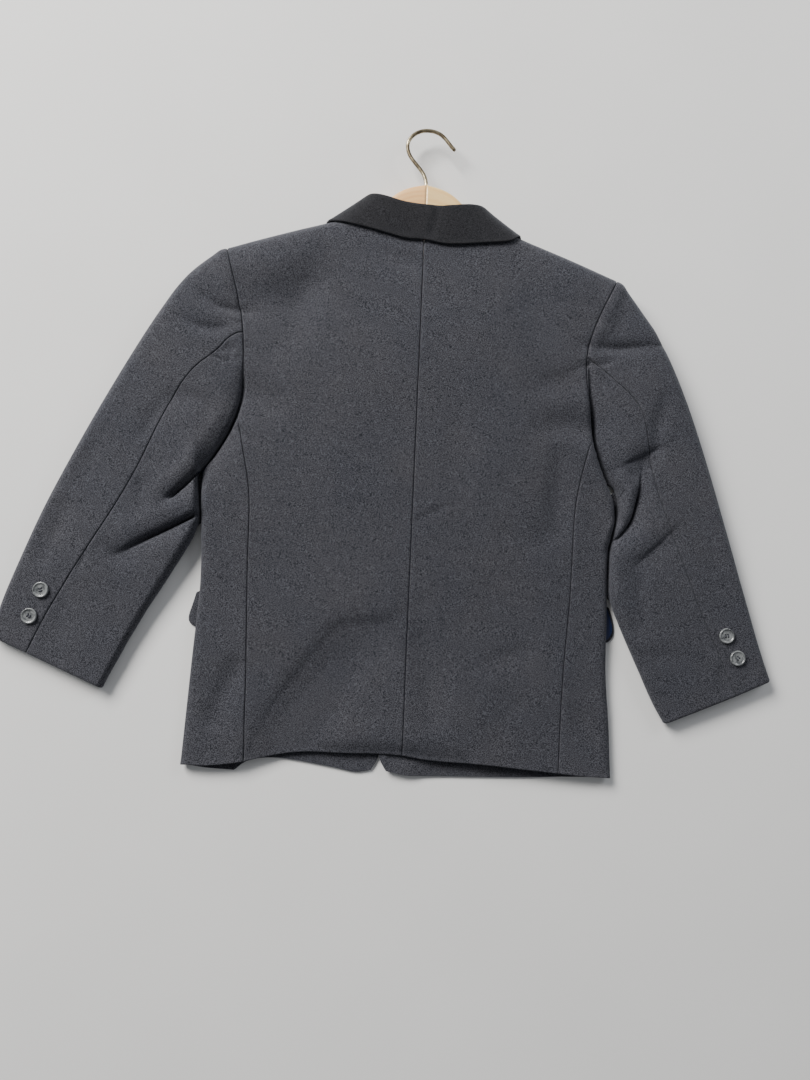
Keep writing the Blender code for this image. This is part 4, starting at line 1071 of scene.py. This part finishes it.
# Distance out of the joint and y of the upper edge, the same of the lower edge, thickness
ARM = [
    (0.05, 569, 0.05, 536, 13), (13, 566, 12, 533, 13), (23, 562, 22, 529.5, 13), (33, 555, 32, 524, 13),
    (46, 541.5, 43, 512, 12.5), (62, 527, 57, 500, 12), (80, 515, 76, 489, 12), (102, 507, 98, 480, 12),
    (130, 497, 126, 470, 12.5), (152, 488, 148, 459, 14), (169, 480, 166, 453, 15), (178, 474, 175, 456, 13),
    (183, 467, 182, 463, 8),
]
HOOK = [(0.6, 551), (0.6, 562), (0.6, 572), (-1.5, 580), (-6, 587), (-13, 595), (-18, 602), (-20.5, 610),
        (-19.5, 618), (-15, 624.5), (-8, 629), (0, 630.5), (8, 629.5), (15, 626), (20.5, 620), (25, 614),
        (29, 610)]
WIRE = 1.9


def hanger():
    """Two joined wooden halves and the wire hook between them."""
    made = {}
    angles = np.linspace(0, 2 * np.pi, 48, endpoint=False)
    rounded = np.stack([np.sign(np.cos(angles)) * np.abs(np.cos(angles)) ** 0.55,
                        np.sign(np.sin(angles)) * np.abs(np.sin(angles)) ** 0.55], axis=1) * 0.5
    for side, sign in (("left", -1), ("right", 1)):
        rings = []
        for xt, yt, xb, yb, t in ARM:
            drop = 6 * smooth(xt / 190) if side == "right" else 0
            a = np.array([JOINT_X + sign * xt, yt - drop])
            b = np.array([JOINT_X + sign * xb, yb - drop])
            rings.append([(*((a + b) / 2 + (a - b) * u), HANGER_Z + t * w) for u, w in rounded])
        rings = between(np.array(rings), np.linspace(0, len(ARM) - 1, (len(ARM) - 1) * 6 + 1))
        made[f"hanger_half_{side}"] = rings_piece(f"hanger_half_{side}_wood", rings, shift=80.0 * sign)
    line = path(HOOK, 3)
    turns = np.linspace(0, 2 * np.pi, 24, endpoint=False)
    rings = []
    for share in np.linspace(0.05, 1, 150):
        step = unit(line(min(share + 0.01, 1)) - line(max(share - 0.01, 0)))
        r = WIRE * np.sqrt(np.clip((1.004 - share) / 0.012, 0.02, 1))
        beside = np.array([step[1], -step[0]])
        rings.append([(*(line(share) + beside * r * c), HANGER_Z + r * s)
                      for c, s in zip(np.cos(turns), np.sin(turns))])
    made["hanger_hook"] = rings_piece("hanger_hook_wire", rings)
    return made


class Value:
    """A node's output that is used in plain sums; each sum adds its Math node."""

    def __init__(self, finish, socket):
        self.finish, self.socket = finish, socket

    def work(self, operation, *values):
        return self.finish.node("ShaderNodeMath", {"operation": operation}, dict(enumerate(values)))

    def __add__(self, other):
        return self.work("ADD", self, other)

    def __sub__(self, other):
        return self.work("SUBTRACT", self, other)

    def __rsub__(self, other):
        return self.work("SUBTRACT", other, self)

    def __mul__(self, other):
        return self.work("MULTIPLY", self, other)

    __radd__ = __add__
    __rmul__ = __mul__

    def sine(self):
        return self.work("SINE", self)

    def held(self, low=0.0, high=1.0):
        return self.work("MINIMUM", self.work("MAXIMUM", self, low), high)


class Finish:
    """One material and the nodes behind it."""

    def __init__(self, name, **constants):
        self.material = bpy.data.materials.new(name)
        self.material.use_nodes = True
        self.nodes, self.links = self.material.node_tree.nodes, self.material.node_tree.links
        self.surface = self.nodes["Principled BSDF"]
        self.fill(self.surface, {key.replace("_", " "): value for key, value in constants.items()})

    def fill(self, node, values):
        for key, value in values.items():
            if isinstance(value, Value):
                self.links.new(value.socket, node.inputs[key])
            else:
                node.inputs[key].default_value = value

    def node(self, kind, settings=None, values=None, output=0):
        made = self.nodes.new(kind)
        for key, value in (settings or {}).items():
            setattr(made, key, value)
        self.fill(made, values or {})
        return Value(self, made.outputs[output])

    def grain(self):
        return self.node("ShaderNodeAttribute", {"attribute_name": "grain"}, output="Vector")

    def stretch(self, vector, scale):
        """A vector or colour with each part multiplied by its own factor."""
        return self.node("ShaderNodeVectorMath", {"operation": "MULTIPLY"}, {0: vector, 1: scale})

    def parts(self, vector):
        split = self.node("ShaderNodeSeparateXYZ", None, {0: vector}).socket.node
        return [Value(self, split.outputs[k]) for k in range(3)]

    def noise(self, vector, scale, detail=2.0, rough=0.5):
        return self.node("ShaderNodeTexNoise", None,
                         {"Vector": vector, "Scale": scale, "Detail": detail, "Roughness": rough})

    def mix(self, share, first, second):
        return self.node("ShaderNodeMix", {"data_type": "RGBA"}, {0: share, 6: first, 7: second}, output=2)

    def bump(self, height, strength, distance):
        values = {"Strength": strength, "Distance": distance, "Height": height}
        return self.node("ShaderNodeBump", None, values)

    def show(self, **links):
        self.fill(self.surface, {key.replace("_", " "): value for key, value in links.items()})
        return self.material


def wool(name, light, dark):
    """Soft suiting of mixed fibres: light and dark flecks over a fine diagonal twill."""
    f = Finish(name, Sheen_Weight=0.16, Sheen_Roughness=0.45, Sheen_Tint=(0.86, 0.9, 1.0, 1.0),
               Specular_IOR_Level=0.2)
    grain = f.grain()
    across, along, _ = f.parts(grain)
    slub = f.noise(f.stretch(grain, (1.0, 0.45, 1.0)), 0.8, 2.0, 0.6)
    fleck = f.noise(grain, 1.35, 2.0, 0.7)
    fibre = f.noise(f.stretch(grain, (1.0, 0.3, 1.0)), 2.6, 2.0, 0.6)
    cloud = f.noise(grain, 0.018, 3.0, 0.55)
    rib = ((across * 0.86 + along * 0.5 + slub * 0.9) * 13.0).sine() * 0.5 + 0.5
    tone = (rib * 0.12 + (fleck - 0.5) * 7.5 + (fibre - 0.5) * 2.0 + (slub - 0.5) * 0.4
            + (cloud - 0.5) * 0.3 + 0.42).held()
    height = rib * 0.3 + fleck * 1.1 + fibre * 0.9 + slub * 0.3
    warm = (cloud * 2.4 - 0.7).held()
    tint = f.mix(warm, (0.985, 0.995, 1.02, 1), (1.02, 1.0, 0.985, 1))
    colour = f.stretch(f.mix(tone, dark, light), tint)
    return f.show(Base_Color=colour, Roughness=(0.95 - tone * 0.12).held(),
                  Normal=f.bump(height, 0.3, 0.00035))


def satin(name, light, dark):
    """Smooth woven lining with a fine cross rib."""
    f = Finish(name, Sheen_Weight=0.15, Sheen_Roughness=0.3, Specular_IOR_Level=0.55, Anisotropic=0.4)
    grain = f.grain()
    across, along, _ = f.parts(grain)
    cloud = f.noise(grain, 0.12, 3.0, 0.55)
    thread = (along * 14.0 + cloud * 2.0).sine() * 0.5 + 0.5
    weft = (across * 17.0).sine() * 0.5 + 0.5
    tone = (thread * 0.25 + weft * 0.15 + cloud * 0.6).held()
    return f.show(Base_Color=f.mix(tone, dark, light), Roughness=(0.42 - tone * 0.1).held(),
                  Normal=f.bump(thread * 0.6 + weft * 0.3 + cloud, 0.25, 0.0002))


def sewing_thread():
    f = Finish("sewing_thread", Sheen_Weight=0.2, Sheen_Roughness=0.5, Specular_IOR_Level=0.4)
    along, across, up = f.parts(f.grain())
    twist = ((along * 2.6 + across * 4.0 + up * 4.0) * 4.0).sine() * 0.5 + 0.5
    return f.show(Base_Color=f.mix(twist, (0.012, 0.014, 0.024, 1), (0.05, 0.055, 0.08, 1)), Roughness=0.7,
                  Normal=f.bump(twist, 0.5, 0.0001))


def smoky_button():
    """Grey marbled resin with a polished rim."""
    f = Finish("smoky_button", Coat_Roughness=0.12, Specular_IOR_Level=0.6, Subsurface_Weight=0.12,
               Subsurface_Radius=(1.0, 1.0, 1.0), Subsurface_Scale=0.0012)
    grain = f.grain()
    warp = f.noise(grain, 0.16, 3.0, 0.6)
    veil = f.noise(f.stretch(grain, (1.0, 0.45, 1.0)), 0.34, 4.0, 0.65)
    swirl = (warp * 9.0 + veil * 5.0).sine() * 0.5 + 0.5
    fleck = f.noise(grain, 2.2, 2.0, 0.5)
    tone = (swirl * 0.55 + (veil - 0.35) * 0.9 + (fleck - 0.5) * 0.3).held()
    colour = f.mix(tone, (0.03, 0.033, 0.038, 1), (0.27, 0.28, 0.28, 1))
    return f.show(Base_Color=colour, Roughness=(0.26 + fleck * 0.1).held(), Coat_Weight=0.45,
                  Normal=f.bump(veil, 0.06, 0.0002))


def varnished_wood(name, light, dark):
    """Pale wood, its growth lines drawn out along the arm, under a thin varnish."""
    f = Finish(name, Coat_Roughness=0.16, Specular_IOR_Level=0.5)
    grain = f.grain()
    _, across, up = f.parts(grain)
    bend = f.noise(f.stretch(grain, (0.35, 1.0, 1.0)), 0.05, 2.0, 0.5)
    ring = ((across * 0.42 + up * 0.2 + bend * 9.0) * 2.1).sine() * 0.5 + 0.5
    fibre = f.noise(f.stretch(grain, (0.06, 1.0, 1.0)), 2.4, 4.0, 0.65)
    pore = f.noise(f.stretch(grain, (0.12, 1.0, 1.0)), 5.5, 1.0, 0.5)
    tone = (ring * 0.34 + fibre * 0.8 - 0.12 + (pore - 0.5) * 0.5).held()
    return f.show(Base_Color=f.mix(tone, dark, light), Roughness=(0.34 + (1 - tone) * 0.16).held(),
                  Coat_Weight=0.35, Normal=f.bump(fibre + pore * 0.6, 0.08, 0.0002))


def old_brass():
    """Wire gone dull, darker where it was never rubbed."""
    f = Finish("old_brass", Metallic=1.0)
    grain = f.grain()
    patch = f.noise(f.stretch(grain, (0.6, 1.0, 1.0)), 0.22, 4.0, 0.6)
    drawn = f.noise(f.stretch(grain, (0.05, 1.0, 1.0)), 3.5, 2.0, 0.5)
    spot = f.noise(grain, 1.6, 2.0, 0.5)
    worn = ((patch - 0.42) * 4.0 + (spot - 0.5) * 0.8).held()
    return f.show(Base_Color=f.mix(worn, (0.13, 0.105, 0.07, 1), (0.47, 0.40, 0.27, 1)),
                  Roughness=(0.5 - worn * 0.2 + (drawn - 0.5) * 0.1).held(),
                  Normal=f.bump(drawn + spot * 0.5, 0.2, 0.0001))


def pale_floor():
    f = Finish("pale_floor", Roughness=0.95, Specular_IOR_Level=0.1)
    where = f.node("ShaderNodeTexCoord", output="Object")
    tone = f.noise(where, 7.0, 3.0, 0.5)
    return f.show(Base_Color=f.mix(tone, (0.76, 0.755, 0.74, 1), (0.82, 0.815, 0.80, 1)))


def dress(made, finishes, nodes):
    """Give a piece its finishes and its place in the frame, and hide the imported nodes it stands for."""
    for finish in finishes:
        made.data.materials.append(finish)
    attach(made, "root")
    if nodes:
        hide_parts(*nodes)


FLOOR_Z = -0.0003


def soft_box(name, at, aim, size, watts, colour):
    data = bpy.data.lights.new(name, "AREA")
    data.shape = "RECTANGLE"
    data.size, data.size_y = size
    data.energy = watts
    data.color = colour
    light = bpy.data.objects.new(name, data)
    bpy.context.scene.collection.objects.link(light)
    light.location = at
    light.rotation_euler = (Vector(aim) - Vector(at)).to_track_quat("-Z", "Y").to_euler()


def studio():
    """Pale floor, a soft window from the upper left, a weaker light from the upper right and an even sky."""
    mesh = bpy.data.meshes.new("floor")
    mesh.from_pydata([(-4, -4, 0), (4, -4, 0), (4, 4, 0), (-4, 4, 0)], [], [(0, 1, 2, 3)])
    floor = bpy.data.objects.new("floor", mesh)
    floor.location = (0, 0, FLOOR_Z)
    bpy.context.scene.collection.objects.link(floor)
    mesh.materials.append(pale_floor())
    world = bpy.data.worlds.new("sky")
    bpy.context.scene.world = world
    world.use_nodes = True
    sky = world.node_tree.nodes["Background"].inputs
    sky["Color"].default_value = (0.92, 0.95, 1.0, 1)
    sky["Strength"].default_value = 0.24
    soft_box("window", (-1.8, 1.75, 1.65), (0, 0, 0), (1.8, 1.15), 195, (1.0, 0.985, 0.96))
    soft_box("doorway", (1.3, 0.9, 0.9), (0, 0, 0), (0.8, 0.6), 8, (0.92, 0.95, 1.0))


# The image's middle ray meets the table here, in millimetres of the frame
AIM = np.array([13.5, -100.5, 0.0])
EYE_AWAY = 800.0
TILT, SIDE_TILT, ROLL = np.radians(7.0), np.radians(2.0), np.radians(2.4)


def camera():
    back = unit(np.array([-np.sin(SIDE_TILT) * np.cos(TILT), -np.sin(TILT),
                          np.cos(SIDE_TILT) * np.cos(TILT)]))
    up = unit(np.array([0, 1.0, 0]) - back * back[1])
    right = np.cross(up, back)
    across = np.cos(ROLL) * right + np.sin(ROLL) * up
    upward = -np.sin(ROLL) * right + np.cos(ROLL) * up
    eye = (AIM + back * EYE_AWAY) / 1000
    data = bpy.data.cameras.new("camera")
    data.sensor_width = 36.0
    data.lens = 27.0
    view = bpy.data.objects.new("camera", data)
    bpy.context.scene.collection.objects.link(view)
    place = np.eye(4)
    place[:3, 0], place[:3, 1], place[:3, 2], place[:3, 3] = across, upward, back, eye
    view.matrix_world = Matrix(place.tolist())
    bpy.context.scene.camera = view


camera()
studio()
suiting = wool("navy_suiting", (0.079, 0.080, 0.0925, 1), (0.0086, 0.0092, 0.0125, 1))
collar_suiting = wool("collar_suiting", (0.0235, 0.0235, 0.0265, 1), (0.0043, 0.0044, 0.0056, 1))
body_lining = satin("body_lining", (0.016, 0.03, 0.11, 1), (0.005, 0.01, 0.045, 1))
flap_satin = satin("flap_lining_satin", (0.008, 0.023, 0.11, 1), (0.002, 0.007, 0.045, 1))
thread = sewing_thread()
resin = smoky_button()
wood = {"left": varnished_wood("wood_left", (0.93, 0.60, 0.27, 1), (0.74, 0.38, 0.14, 1)),
        "right": varnished_wood("wood_right", (0.94, 0.69, 0.33, 1), (0.76, 0.46, 0.17, 1))}
brass = old_brass()

panels = coat_body()
for node, made in panels.items():
    dress(made, (suiting, body_lining), (node,))
fold = collar()
dress(fold, (collar_suiting,), ("collar",))
turned = {side: lapel(side) for side in PLAN}
flaps = {side: flap(side) for side in PLAN}
for side in PLAN:
    dress(turned[side], (suiting,), (f"lapel_{side}",))
    dress(flaps[side][0], (suiting,), (f"pocket_flap_{side}",))
    dress(flaps[side][1], (flap_satin,), (f"flap_lining_{side}",))
for name, made in buttons({side: panels[f"top_sleeve_{side}"] for side in PLAN}).items():
    if "_thread_" in name:
        dress(made, (thread,), ())
    else:
        dress(made, (resin,), (name,))
for name, made in hanger().items():
    if name == "hanger_hook":
        dress(made, (brass,), (name,))
    else:
        dress(made, (wood[name.split("_")[-1]],), (name,))

for node, made in panels.items():
    kind, side = node.rsplit("_", 1)
